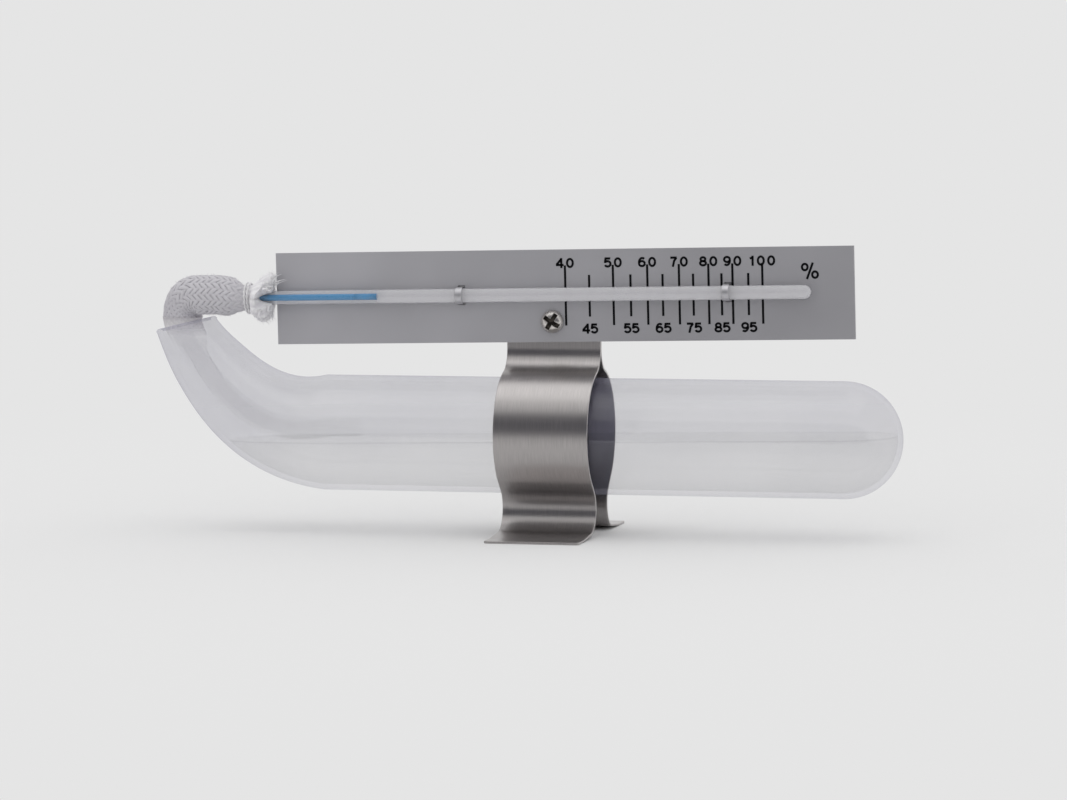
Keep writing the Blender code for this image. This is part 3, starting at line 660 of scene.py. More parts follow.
@dataclass(frozen=True)
class MilkyGlass:
    """White enamel glass behind the bore, through which the ticks show faintly."""

    colour: Colour = (240, 239, 243)
    roughness: float = 0.35
    cover: float = 0.4

    def build(self) -> Material:
        """Builds the material.

        Returns:
            The material.
        """
        graph = new_graph("milky_glass_finish")
        milk = graph.principled(rgba(*self.colour), self.roughness)
        return graph.show(graph.mix_shaders(self.cover, graph.add("BsdfTransparent")[0], milk))


@dataclass(frozen=True)
class Cotton:
    """Cotton yarn: fine fibres along each yarn, and painted shade: lighter on its crown than at its
    edges.

    The marks hold a yarn's length, its width and a painted-shade share: high, for the crown colour,
    where it lies high over the core, low, for the edge colour, in the shade between yarns. Wet
    cotton turns almost clear below wet_height, more so under water, and fades out towards its end.
    """

    name: str
    crown: Colour = (199, 197, 202)
    edge: Colour = (178, 175, 182)
    dry: Colour = (190, 187, 193)
    wet_cover: float = 1.0
    scatter: float = 0.0
    sunk_cover: float = 0.02
    dry_height: float = 47.0 * MM
    wet_height: float = 41.5 * MM
    float_height: float = 25.0 * MM
    sunk_height: float = 19.0 * MM
    fade_from: float = -50.0 * MM
    fade_to: float = -37.0 * MM
    felt_size: float = 150.0
    felt_low: float = 0.45
    felt_high: float = 0.65
    scatter_length: float = 1.2 * MM

    def build(self) -> Material:
        """Builds the material.

        Returns:
            The material.
        """
        graph = new_graph(self.name)
        fibre = graph.noise(graph.marks((900.0, 9000.0, 0.0)), 1.0, 3.0)
        felt = graph.noise(graph.place(), self.felt_size)
        felt = graph.spread(felt, 0.0, 0.8, self.felt_low, self.felt_high)
        # The third mark is painted shade; the felt noise adds random tone.
        share = graph.maths("MAXIMUM", graph.parts(graph.marks())[2], felt)
        colour = graph.mix(share, rgba(*self.edge), rgba(*self.crown))
        colour = graph.times(colour, graph.spread(fibre, 0.9, 1.05))
        sockets = {"Normal": graph.bump(fibre, 4e-5, 0.6), "Specular IOR Level": 0.15}
        sockets.update({"Sheen Weight": 0.25, "Sheen Roughness": 0.5})
        if self.scatter > 0.0:
            sockets.update({"Subsurface Weight": self.scatter, "Subsurface Radius": WHITE[:3]})
            sockets["Subsurface Scale"] = self.scatter_length
        if self.wet_cover < 1.0:
            across, _, height = graph.parts(graph.place())
            water = (self.sunk_height, self.float_height)
            wet = graph.spread(height, self.sunk_cover, self.wet_cover, *water)
            thin = graph.spread(graph.facing(), wet, 0.0, 0.2, 1.0)
            near = graph.spread(across, 1.0, 0.0, self.fade_from, self.fade_to)
            dry = graph.spread(height, 0.0, 1.0, self.wet_height, self.dry_height)
            colour = graph.mix(dry, colour, rgba(*self.dry))
            sockets["Alpha"] = graph.maths("MAXIMUM", graph.maths("MULTIPLY", thin, near), dry)
        return graph.show(graph.principled(colour, 0.9, sockets))


class Slot(Enum):
    """Names of material slots that go with new pieces; nothing reads them."""

    SPRING = "spring_steel"
    BRIGHT = "bright_steel"
    GLASS = "clear_glass"
    MILK = "milky_glass"
    SPIRIT = "blue_spirit"
    COTTON = "cotton"
    WATER = "water"


def dress(
    piece: Piece, body: str, slot: Slot | None = None, replaced: Iterable[str] = (), *span: Any
) -> None:
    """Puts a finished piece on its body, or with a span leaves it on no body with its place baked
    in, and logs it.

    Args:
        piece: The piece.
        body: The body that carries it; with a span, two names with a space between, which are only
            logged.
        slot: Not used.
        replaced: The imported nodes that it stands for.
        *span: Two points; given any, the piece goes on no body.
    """
    if span:
        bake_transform(piece)
    else:
        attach(piece, body)
    if replaced:
        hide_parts(*replaced)
    LOG.info("%s is on %s with %d faces", piece.name, body, len(piece.data.polygons))


def refinish(node: Piece, finish: Material) -> None:
    """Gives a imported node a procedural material."""
    node.data.materials.clear()
    node.data.materials.append(finish)


# The clip


@dataclass
class SpringClip:
    """Both pressed jaws, with rounded strip edges, and the screw, washer and nut that join them."""

    width: float = 20.6 * MM
    thickness: float = 0.5 * MM
    middle: float = 0.3 * MM
    bulge: float = 13.65 * MM
    lift: float = 0.811 * MM
    shoulder: float = 5.25 * MM
    throat: float = 5.1 * MM
    throat_out: float = 10.39 * MM
    throat_up: float = -15.893 * MM
    arm_above: float = 4.5 * MM
    flank: float = 3.0 * MM
    lip_slope: float = math.radians(5.0)
    lip_reach: float = 22.5 * MM
    foot: float = 4.5 * MM
    foot_bend: float = 11.75 * MM
    arm_corner: float = 3.0 * MM
    lip_corner: float = 0.6 * MM
    edge: float = 0.12 * MM
    across: int = 44
    step: float = 0.22 * MM
    head_under: float = -1.55 * MM
    head_radius: float = 2.43 * MM
    head_height: float = 1.6 * MM
    shank: float = 1.25 * MM
    shank_end: float = 4.15 * MM
    thread_start: float = 2.0 * MM
    thread_depth: float = 0.12 * MM
    screw_sides: int = 144
    cross_turn: float = math.radians(58.0)
    cross_half: float = 0.52 * MM
    cross_reach: float = 1.95 * MM
    cross_wall: float = 0.16 * MM
    cross_depth: float = 0.95 * MM

    def middle_line(self) -> np.ndarray:
        """Middle line of a jaw from arm top to lip end: arcs that meet without a kink.

        Returns:
            Rows of out and up from the tube's axis.
        """
        quarter = math.pi / 2
        out = self.middle + self.shoulder
        up = math.sqrt((self.bulge + self.shoulder) ** 2 - out**2)
        down = math.atan2(up, out)
        flank = math.atan2(self.throat_out, -self.throat_up)
        flank += math.atan2(self.flank, self.bulge + self.throat)
        throat_end = 3 * quarter - self.lip_slope
        centre = (self.throat_out, self.throat_up + self.lift)
        throat = arc(centre, self.throat, quarter + flank, throat_end, 50)
        bend_out = self.lip_reach - self.foot
        run = bend_out - self.foot_bend * math.sin(self.lip_slope) - throat[-1, 0]
        bend_up = throat[-1, 1] - run * math.tan(self.lip_slope)
        bend_up += self.foot_bend * math.cos(self.lip_slope)
        return np.vstack([
            [[self.middle, SCREW_HEIGHT + self.arm_above]],
            arc((out, up + self.lift), self.shoulder, math.pi, math.pi + down, 40),
            arc((0.0, self.lift), self.bulge, down, flank - quarter, 90)[1:],
            throat,
            arc((bend_out, bend_up), self.foot_bend, throat_end, 3 * quarter, 8),
            [[self.lip_reach, bend_up - self.foot_bend]],
        ])

    def half_widths(self, stations: np.ndarray, length: float) -> np.ndarray:
        """Half the strip's width at each length along it, less at its rounded corners.

        Args:
            stations: Lengths from the arm's top.
            length: The strip's whole length.

        Returns:
            Half widths.
        """
        half = np.full(len(stations), self.width / 2)
        for corner, off in ((self.arm_corner, stations), (self.lip_corner, length - stations)):
            inside = np.clip(corner - off, 0.0, corner)
            half -= corner - np.sqrt(np.maximum(corner**2 - inside**2, 0.0))
        return half

    def build_jaw(self, name: str, side: int, finish: Material) -> Piece:
        """Builds one jaw: a strip swept along its middle line, with a rounded edge all round.

        The strip's section is a flat oblong whose edges are half rounds; at each length the section
        is as wide as the corners leave it.

        Args:
            name: The piece's name.
            side: -1 in front of the tube, 1 behind it.
            finish: Its material.

        Returns:
            The piece.
        """
        line = self.middle_line()
        length = lengths_along(line)[-1]
        ends = self.edge * (1 - np.cos(np.linspace(0.0, math.pi / 2, 5)[:-1]))
        corner = np.linspace(self.edge, self.arm_corner, 14)[:-1]
        body = np.linspace(self.arm_corner, length - self.edge, int(length / self.step))
        stations = np.concatenate([ends, corner, body, length - ends[::-1]])
        places = resample(line, stations)
        even = np.linspace(0.0, length, 2000)
        outward = left_of(unit(read_off(stations, even, directions(resample(line, even)))))
        half = self.half_widths(stations, length)[:, None] - self.edge
        inset = np.clip(self.edge - np.minimum(stations, length - stations), 0.0, self.edge)
        thin = (self.thickness / 2 - self.edge + np.sqrt(self.edge**2 - inset**2))[:, None]
        turns = np.linspace(0.0, math.pi / 2, 5)[1:]
        top = half * np.linspace(-1.0, 1.0, self.across)
        flat = np.repeat(thin, self.across, axis=1)
        out = half + self.edge * np.sin(turns)
        up = thin - self.edge * (1 - np.cos(turns))
        xs = np.hstack([top, out, out[:, ::-1], top[:, ::-1], -out, -out[:, ::-1]])
        ups = np.hstack([flat, up, -up[:, ::-1], -flat, -up, up[:, ::-1]])
        ys = side * (places[:, :1] + ups * outward[:, :1])
        grid = np.stack([xs, ys, places[:, 1:] + ups * outward[:, 1:]], axis=-1)
        marks = marks_of(grid, xs, stations[:, None])
        return skin_piece(name, grid + STAND_SHIFT, finish, marks, turn=side > 0)

    def build_screw(self, finish: Material) -> Piece:
        """Builds the screw: one turned surface, with a cross pressed into its head and a thread.

        The head's surface is sunk, along Y, wherever the distance to the nearer arm of the cross is
        less than half the arm's width, with a short sloped wall.

        Args:
            finish: Its material.

        Returns:
            The piece.
        """
        under, head, shank, end = self.head_under, self.head_radius, self.shank, self.shank_end
        shares = np.concatenate([np.linspace(0.02, 0.9, 44), np.linspace(0.91, 1.0, 8)])
        dome = under - self.head_height * (1 - 0.75 * shares**4)
        grid = turned_grid(np.column_stack([dome, shares * head]), self.screw_sides, 1)
        cos, sin = math.cos(self.cross_turn), math.sin(self.cross_turn)
        across = abs(grid[..., 0] * cos + grid[..., 2] * sin)
        along = abs(grid[..., 2] * cos - grid[..., 0] * sin)
        long, short = np.maximum(across, along), np.minimum(across, along)
        inside = np.minimum(self.cross_half - short, self.cross_reach - long)
        sunk = smooth(inside / self.cross_wall)
        grid[..., 1] += self.cross_depth * sunk * (1 - 0.35 * long / self.cross_reach)
        places = self.thread_start + (end - 2.3 * MM) * np.linspace(0.0, 1.0, 24)
        back = [[under - 0.05 * MM, head], [under, head - 0.08 * MM], [under, shank]]
        back += [[at, shank - self.thread_depth * (i % 2)] for i, at in enumerate(places)]
        back += [[end, shank - 0.3 * MM]]
        whole = np.vstack([grid, turned_grid(np.array(back), self.screw_sides, 1)])
        marks = marks_of(whole)
        # Painted shade in the cross's recess, through the third mark.
        marks[: len(grid), :, 2] = sunk
        place = STAND_SHIFT + [0.0, 0.0, SCREW_HEIGHT]
        return skin_piece("screw", whole + place, finish, marks)

    def build(self, steel: Material, bright: Material, nodes: dict[str, Any]) -> None:
        """Builds the clip's pieces and puts them on the clip.

        Args:
            steel: Brushed spring steel.
            bright: Plated steel.
            nodes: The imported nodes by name.
        """
        for name, side in (("front_jaw", -1), ("rear_jaw", 1)):
            dress(self.build_jaw(name + "_strip", side, steel), "clip", Slot.SPRING, [name])
        dress(self.build_screw(bright), "clip", Slot.BRIGHT, ["clip_screw"])
        for name in ("flat_washer", "clip_nut"):
            refinish(nodes[name], bright)


# The scale


def oval(
    x: float, z: float, wide: float, high: float, start: float = 0.0, end: float = 360.0
) -> np.ndarray:
    """Points on an oval, in shares of a character's height.

    Args:
        x: Its middle's X.
        z: Its middle's Z.
        wide: Its half width.
        high: Its half height.
        start: First angle in degrees.
        end: Last angle.

    Returns:
        Rows of x and z.
    """
    return arc((0.0, 0.0), 1.0, math.radians(start), math.radians(end), 40) * [wide, high] + [x, z]


CHARACTER_WIDTH = 0.79
CHARACTER_WIDTHS = {"1": 0.55, "%": 1.1}


def strokes(character: str) -> list[np.ndarray]:
    """Middle lines of a plain character's strokes.

    Args:
        character: The character.

    Returns:
        Rows of x and z about its middle for each stroke, in shares of its height.
    """
    lines = {
        "0": [oval(0.0, 0.0, 0.37, 0.5)],
        "1": [[(0.12, -0.64), (0.12, 0.62)], [(0.14, 0.5), (0.0, 0.34), (-0.24, 0.28)]],
        "4": [[(0.2, -0.64), (0.2, 0.63)], [(0.24, 0.54), (-0.41, -0.2)],
              [(-0.5, -0.24), (0.5, -0.24)]],
        "5": [[(-0.3, 0.5), (0.37, 0.5)], [(-0.24, 0.6), (-0.33, -0.06)],
              oval(0.0, -0.17, 0.37, 0.33, 150.0, -155.0)],
        "6": [oval(0.0, -0.19, 0.36, 0.31), oval(0.05, -0.06, 0.41, 0.56, 186.0, 52.0)],
        "7": [[(-0.4, 0.5), (0.42, 0.5)], [(0.38, 0.5), (0.08, 0.1), (-0.1, -0.64)]],
        "8": [oval(0.0, 0.26, 0.3, 0.24), oval(0.0, -0.24, 0.37, 0.26)],
        "9": [oval(0.0, 0.19, 0.36, 0.31), oval(-0.05, 0.06, 0.41, 0.56, 6.0, -128.0)],
        "%": [oval(-0.36, 0.27, 0.2, 0.22), oval(0.36, -0.27, 0.2, 0.22),
              [(-0.22, -0.58), (0.22, 0.58)]],
    }
    return [np.array(line) for line in lines[character]]


class Tick(Enum):
    """Kinds of tick on the scale, with their ends over the plate's bottom edge in millimetres."""

    LONG = (3.5, 16.4)
    SHORT = (5.35, 14.3)


@dataclass
class ScalePlate:
    """The plate, its printed ticks and numerals, and the two ties."""

    edge_below_screw: float = 4.4 * MM
    thickness: float = 0.8 * MM
    front: float = -1.45 * MM
    ink_lift: float = 0.015 * MM
    tick_width: float = 0.5 * MM
    upper_numerals: tuple[int, ...] = (40, 50, 60, 70, 80, 90, 100)
    lower_numerals: tuple[int, ...] = (45, 55, 65, 75, 85, 95)
    long_places: tuple[float, ...] = (3.0, 13.5, 21.0, 27.9, 34.3, 39.5, 45.95)
    short_places: tuple[float, ...] = (8.25, 17.3, 24.3, 30.95, 37.1, 42.9)
    upper_row: float = 16.9
    lower_row: float = 2.8
    upper_gap: float = 0.5 * MM
    lower_gap: float = 0.03 * MM
    numeral_height: float = 2.2 * MM
    stroke: float = 0.49 * MM
    sign_place: tuple[float, float] = (56.2, 14.6)
    sign_height: float = 3.5 * MM
    tie_places: tuple[float, ...] = (-19.95, 38.45)
    tie_width: float = 1.5 * MM
    tie_leg_width: float = 0.6 * MM
    tie_thickness: float = 0.25 * MM
    tie_gap: float = 0.15 * MM
    tie_fold: float = 0.3 * MM
    tie_foot: float = 0.8 * MM
    tie_edge: float = 0.08 * MM
    tie_ramp: float = 0.8 * MM
    tie_dirt: float = 0.6
    slot_width: float = 1.58 * MM
    slot_height: float = 0.53 * MM

    def on_front(self, flat: np.ndarray) -> np.ndarray:
        """Row-frame points just in front of the plate, of x and z from the screw."""
        y = np.full(flat.shape[:-1], self.front - self.ink_lift)
        return plate_points(np.stack([flat[..., 0], y, flat[..., 1]], axis=-1))

    def build_ticks(self, ink: Material) -> Piece:
        """Builds all ticks as thin upright bars.

        Args:
            ink: Print material.

        Returns:
            The piece.
        """
        skin = Skin()
        half = self.tick_width / 2
        for places, kind in ((self.long_places, Tick.LONG), (self.short_places, Tick.SHORT)):
            low, high = (value * MM - self.edge_below_screw for value in kind.value)
            for place in places:
                left, right = place * MM - half, place * MM + half
                corners = np.array([(left, low), (right, low), (right, high), (left, high)])
                skin.add(self.on_front(corners), [QUAD])
        return skin.build("scale_ticks", ink, flat=True)

    def build_word(
        self, name: str, text: str, x: float, z: float, height: float, gap: float, ink: Material
    ) -> Piece:
        """Builds plain numerals or a sign as flat strokes on the plate.

        Args:
            name: The piece's name.
            text: Its characters.
            x: Plate-frame middle, in millimetres from the screw.
            z: Middle over the plate's bottom edge, in millimetres.
            height: Height of its characters.
            gap: Space between two characters.
            ink: Print material.

        Returns:
            The piece.
        """
        skin = Skin()
        widths = [CHARACTER_WIDTHS.get(character, CHARACTER_WIDTH) * height for character in text]
        left = x * MM - (sum(widths) + gap * (len(text) - 1)) / 2
        for character, width in zip(text, widths):
            middle = [left + width / 2, z * MM - self.edge_below_screw]
            left += width + gap
            for line in strokes(character):
                line = line * (height - self.stroke)
                across = left_of(directions(line)) * self.stroke / 2
                rows = np.stack([line - across, line + across], axis=1)
                skin.add_grid(self.on_front(rows + middle), capped=False, round_rows=False)
        return skin.build(name, ink, flat=True)

    def build_tie(self, name: str, place: float, finish: Material) -> Piece:
        """Builds a tie: a strap arched over the stem, with its feet folded in behind the plate.

        Its legs are slim over the plate, and swell to fill their slots in it.

        Args:
            name: The piece's name.
            place: Plate-frame X of its middle.
            finish: Its material.

        Returns:
            The piece.
        """
        front, fold, edge = self.front, self.tie_fold, self.tie_edge
        hug = STEM_RADIUS + 0.02 * MM + self.tie_thickness / 2
        leg = STEM_RADIUS + self.tie_gap + self.tie_thickness / 2
        foot_y = front + self.thickness + 0.1 * MM + self.tie_thickness / 2
        half = np.vstack([
            [[foot_y, leg - fold - self.tie_foot]],
            arc((foot_y - fold, leg - fold), fold, 0.0, math.pi / 2, 8),
            [[front + 0.6 * MM, leg], [front + 0.1 * MM, leg], [front, leg]],
        ])
        arch = arc((STEM_Y, 0.0), hug, math.pi / 2, 1.5 * math.pi, 40)
        line = np.vstack([half, arch, half[::-1] * [1.0, -1.0]])
        outward = left_of(directions(line))
        over = smooth((STEM_Y - line[:, :1]) / self.tie_ramp + 0.4)
        depth = line[:, :1] - front
        seated = smooth(depth / (0.1 * MM)) * smooth((0.72 * MM - depth) / (0.12 * MM))
        wide = self.tie_leg_width + (self.tie_width - self.tie_leg_width) * over
        wide = wide + (self.slot_width - wide) * seated
        thick = self.tie_thickness + (self.slot_height - self.tie_thickness) * seated
        turns = np.linspace(0.0, math.pi / 2, 4)
        side = wide / 2 - edge + edge * np.sin(turns)
        up = thick / 2 - edge + edge * np.cos(turns)
        xs = np.hstack([side, side[:, ::-1], -side, -side[:, ::-1]])
        ups = np.hstack([up, -up[:, ::-1], -up, up[:, ::-1]])
        zs = line[:, 1:] + ups * outward[:, 1:] + STEM_RISE
        grid = np.stack([xs + place, line[:, :1] + ups * outward[:, :1], zs], axis=-1)
        # Painted shade on the legs, away from the arch and outside the slots.
        marks = marks_of(grid, third=self.tie_dirt * (1 - over) * (1 - seated))
        return skin_piece(name, plate_points(grid), finish, marks, turn=True)

    def build(self, sheet: Material, ink: Material, steel: Material, nodes: dict[str, Any]) -> None:
        """Builds the print and ties, and dresses the plate.

        Args:
            sheet: Satin aluminium.
            ink: Print material.
            steel: Plated steel of the ties.
            nodes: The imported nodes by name.
        """
        refinish(nodes["scale_plate"], sheet)
        dress(self.build_ticks(ink), "scale")
        words = [(f"numeral_{number}", str(number), place, self.upper_row, self.numeral_height,
                  self.upper_gap) for number, place in zip(self.upper_numerals, self.long_places)]
        words += [(f"numeral_{number}", str(number), place, self.lower_row, self.numeral_height,
                   self.lower_gap) for number, place in zip(self.lower_numerals, self.short_places)]
        words.append(("percent_sign", "%", *self.sign_place, self.sign_height, 0.0))
        for word in words:
            dress(self.build_word(*word, ink), "scale")
        for name, place in zip(("left_tie", "right_tie"), self.tie_places):
            tie = self.build_tie(name + "_strap", place * MM, steel)
            dress(tie, "scale", Slot.BRIGHT, [name])


# The thermometer


@dataclass
class Thermometer:
    """Clear glass stem with enamel behind its bore, the bulb, and the blue spirit."""

    tip: float = 56.9 * MM
    cone: float = 1.6 * MM
    bulb_wall: float = 0.7 * MM
    milk_radius: float = 1.45 * MM
    milk_cones: float = 1.2
    flat_front: float = 0.25 * MM
    clear_tip: float = 0.15 * MM
    column_radius: float = 0.71 * MM
    spirit_end: float = -38.4 * MM
    head: float = 5.0 * MM
    head_round: float = 0.12 * MM
    sides: int = 48

    def turned(self, name: str, profile: np.ndarray, finish: Material) -> Piece:
        """Builds a piece turned about the stem's axis.

        Args:
            name: The piece's name.
            profile: Rows of plate-frame X and radius.
            finish: Its material.

        Returns:
            The piece.
        """
        grid = turned_grid(profile, self.sides) + [0.0, STEM_Y, STEM_RISE]
        return skin_piece(name, plate_points(grid), finish, marks_of(grid, 1.0), turn=True)

    def outer_profile(self) -> np.ndarray:
        """Profile of the stem and bulb from the bulb's end to the stem's tip.

        Returns:
            Rows of plate-frame X and radius.
        """
        end = self.tip - STEM_RADIUS
        xs = np.linspace(BULB_SHOULDER + 2 * self.cone, end, 12)[:-1]
        return np.vstack([
            half_round(BULB_TIP + BULB_RADIUS, BULB_RADIUS, -1, 12)[::-1],
            [[BULB_SHOULDER, BULB_RADIUS], [BULB_SHOULDER + self.cone, STEM_RADIUS]],
            np.column_stack([xs, np.full(len(xs), STEM_RADIUS)]),
            half_round(end, STEM_RADIUS, 1, 12),
        ])

    def build_milk(self, finish: Material) -> Piece:
        """Builds the enamel: a rod cut flat just in front of the bore's axis, with a rounded tip.

        Args:
            finish: Milky glass.

        Returns:
            The piece.
        """
        end = self.tip - STEM_RADIUS - self.clear_tip
        tip = half_round(end, self.milk_radius, 1, 10)
        xs = np.linspace(BULB_SHOULDER + self.milk_cones * self.cone, end, 40)[:-1]
        rod = np.vstack([np.column_stack([xs, np.full(len(xs), self.milk_radius)]), tip])
        cut = math.acos(-self.flat_front / self.milk_radius)
        back = np.linspace(-cut, cut, 29)
        angles = np.concatenate([back, np.linspace(cut, 2 * math.pi - cut, 9)[1:-1]])
        ys = np.maximum(rod[:, 1:] * np.cos(angles), -self.flat_front)
        zs = rod[:, 1:] * np.sin(angles)
        zs[:, len(back):] = np.linspace(zs[:, len(back) - 1], zs[:, 0], 9)[1:-1].T
        grid = np.stack([rod[:, :1] + 0 * ys, ys + STEM_Y, zs + STEM_RISE], axis=-1)
        return skin_piece("stem_enamel", plate_points(grid), finish, turn=True)

    def build(self, glass: Material, milk: Material, spirit: Material) -> None:
        """Builds the thermometer's pieces.

        Args:
            glass: Clear glass.
            milk: Milky glass.
            spirit: Blue spirit.
        """
        stem = self.turned("stem_glass", self.outer_profile(), glass)
        dress(stem, "scale", Slot.GLASS, ["thermometer_glass"])
        dress(self.build_milk(milk), "scale", Slot.MILK)
        inner, start = BULB_RADIUS - self.bulb_wall, BULB_SHOULDER + self.cone
        bulb = half_round(BULB_TIP + BULB_RADIUS, inner, -1, 10)[::-1]
        bulb = np.vstack([bulb, [[BULB_SHOULDER, inner], [start, self.column_radius]]])
        dress(self.turned("bulb_fill", bulb, spirit), "scale", Slot.SPIRIT, ["bulb_spirit"])
        end = self.spirit_end - self.head
        xs = np.linspace(start, end, 30)
        line = np.column_stack([xs, np.full(len(xs), self.column_radius)])
        thread = self.turned("blue_thread", line, spirit)
        span = [(corner.x, 0.0, corner.z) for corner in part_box("spirit_column")]
        dress(thread, "scale spirit", Slot.SPIRIT, ["spirit_column"], *span)
        head = [[end, self.column_radius], [self.spirit_end, self.column_radius],
                [self.spirit_end - self.head_round, self.column_radius / 2]]
        cap = self.turned("blue_thread_head", np.array(head), spirit)
        dress(cap, "spirit", Slot.SPIRIT, ["column_head"])


# The reservoir


@dataclass
class Reservoir:
    """Bent glass tube with a round end and a fire-polished mouth, and the water in it."""

    dome_x: float = 63.1 * MM
    bend_x: float = -51.0 * MM
    bend_handle: float = 15.2 * MM
    neck_handle: float = 13.8 * MM
    neck_angle: float = math.radians(61.8)
    neck_rings: int = 60
    mouth: tuple[float, float] = (-82.538 * MM, 22.786 * MM)
    mouth_radius: float = 6.7 * MM
    slant: float = math.radians(15.0)
    bead: float = 0.15 * MM
    sides: int = 96
    inner_haze: float = 0.04
    low_clear: float = 0.27
    low_from: float = 2.0 * MM
    low_run: float = 9.0 * MM
    neck_haze: float = 0.25
    neck_run: float = 20.0 * MM
    level: float = -0.4 * MM
    least_depth: float = 0.1 * MM
    water_bite: float = 0.02 * MM
    line_height: float = 0.45 * MM
    line_cover: float = 0.13

    def neck_line(self) -> np.ndarray:
        """Centre line of the neck from bend to mouth: one cubic curve.

        Returns:
            Rows of stand-frame x and z.
        """
        mouth, start = Vector(self.mouth), Vector((self.bend_x, 0.0))
        back = Vector((-math.cos(self.neck_angle), math.sin(self.neck_angle)))
        handles = (start - Vector((self.bend_handle, 0.0)), mouth - self.neck_handle * back)
        curve = geometry.interpolate_bezier(start, *handles, mouth, self.neck_rings)
        return np.array([tuple(point)[:2] for point in curve])

    def neck(self, inset: float) -> np.ndarray:
        """Rings of the neck, which lean towards the mouth's slant over its last third.

        Args:
            inset: How far they lie inside the outer surface.

        Returns:
            The rings as a grid.
        """
        line = self.neck_line()
        lengths = lengths_along(line)
        shares = lengths / lengths[-1]
        radii = TUBE_RADIUS + (self.mouth_radius - TUBE_RADIUS) * shares - inset
        ways = directions(line)
        lean = self.slant * smooth(3 * shares - 2)
        ways_x = ways[:, 0] * np.cos(lean) + ways[:, 1] * np.sin(lean)
        ways_z = ways[:, 1] * np.cos(lean) - ways[:, 0] * np.sin(lean)
        places = np.column_stack([line[:, 0], 0 * lean, line[:, 1]])
        ups = np.column_stack([-ways_z, 0 * lean, ways_x])
        return ring_about(places, ups, BACKWARD, radii, self.sides)

    def straight(self, inset: float) -> np.ndarray:
        """Rings from near the dome's pole along the barrel to just short of the bend.

        Args:
            inset: How far they lie inside the outer surface.

        Returns:
            The rings as a grid.
        """
        radius = TUBE_RADIUS - inset
        xs = np.linspace(self.dome_x, self.bend_x, 34)[1:-1]
        dome = half_round(self.dome_x, radius, 1, 26)[::-1]
        profile = np.vstack([dome, np.column_stack([xs, np.full(len(xs), radius)])])
        return ring_about(profile[:, :1] * RIGHT, DOWN, BACKWARD, profile[:, 1], self.sides)

    def build_glass(self, finish: Material) -> Piece:
        """Builds the tube as one skin: outside, round the rim, and back along the inside.

        The rim is a half round between both walls, swollen by its bead. The first mark, the haze's
        share, falls below the axis as painted light that offsets the shade on the tube's lower
        half, rises towards the mouth and is small inside.

        Args:
            finish: Clear glass.

        Returns:
            The piece.
        """
        outer, inner = self.neck(0.0), self.neck(TUBE_WALL)
        middle, half = (outer[-1] + inner[-1]) / 2, (outer[-1] - inner[-1]) / 2
        up = unit(np.cross(half[0], half[self.sides // 4]))
        up = up * np.sign(up[2]) * (TUBE_WALL / 2 + self.bead)
        angles = np.linspace(0.0, math.pi, 13)[1:-1, None, None]
        swell = 1 + 2 * self.bead / TUBE_WALL
        rim = middle + half * swell * np.cos(angles) + up * np.sin(angles)
        outside = np.concatenate([self.straight(0.0), outer, rim])
        grid = np.concatenate([outside, inner[::-1], self.straight(TUBE_WALL)[::-1]])
        # Less haze low down: painted light that offsets the lower half's shade.
        low = smooth((self.low_from - grid[..., 2]) / self.low_run)
        near_mouth = smooth((self.bend_x - grid[..., 0]) / self.neck_run)
        marks = marks_of(grid, 1.0 - self.low_clear * low + self.neck_haze * near_mouth)
        marks[len(outside):, :, 0] = self.inner_haze
        return skin_piece("reservoir_glass", grid + STAND_SHIFT, finish, marks)

    def over_level(self, points: np.ndarray) -> np.ndarray:
        """Height of points over the water's level, which is parallel to the scale plate."""
        return points[..., 2] - self.level - math.tan(PLATE_TILT) * points[..., 0]

    def build_water(self, finish: Material) -> Piece:
        """Builds the water: rings that fill the tube, cut off flat at the level.

        A thin line below the level is marked darker, more so in front: a painted shade line that
        stands in for the meniscus.

        Args:
            finish: Water.

        Returns:
            The piece.
        """
        inset = TUBE_WALL - self.water_bite
        grid = np.concatenate([self.straight(inset), self.neck(inset)])
        grid = grid[self.over_level(grid).min(axis=1) < -self.least_depth]
        rows = np.array([self.water_ring(ring) for ring in grid])
        wall = np.arange(self.sides) < self.sides * 2 // 3
        # Painted shade along the waterline, stronger in front.
        line = smooth(1 + self.over_level(rows) / self.line_height) * wall
        front = 0.25 + 0.75 * smooth(0.5 - rows[..., 1] / TUBE_RADIUS)
        marks = marks_of(rows, 1.0, self.line_cover * line * front, line)
        return skin_piece("reservoir_water", rows + STAND_SHIFT, finish, marks)

    def water_ring(self, ring: np.ndarray) -> np.ndarray:
        """One ring of the water: the wall's arc below the level, then the level back across.

        The arc's points stand closer towards the level, where the dark line is.

        Args:
            ring: The full ring along the wall.

        Returns:
            As many points, two thirds of them on the wall.
        """
        angle = np.arctan2(ring[:, 1], -(ring[:, 2] - ring[:, 2].mean()))
        order = np.argsort(angle)
        wall, angles = ring[order], angle[order]
        half = angles <= 0
        edge = -np.interp(0.0, -self.over_level(wall[half]), angles[half])
        low = edge * np.sin(np.linspace(-math.pi / 2, math.pi / 2, len(ring) * 2 // 3))
        whole = {"xp": angles, "period": 2 * math.pi}
        bottom = np.column_stack([np.interp(low, fp=column, **whole) for column in wall.T])
        shares = np.linspace(0.0, 1.0, len(ring) - len(low) + 2)[1:-1, None]
        return np.vstack([bottom, bottom[-1] + (bottom[0] - bottom[-1]) * shares])

    def build(self, glass: Material, water: Material) -> None:
        """Builds the tube and its water.

        Args:
            glass: Clear glass.
            water: Water.
        """
        dress(self.build_glass(glass), "reservoir", Slot.GLASS, ["reservoir_tube"])
        dress(self.build_water(water), "reservoir", Slot.WATER, ["water"])


# The wick


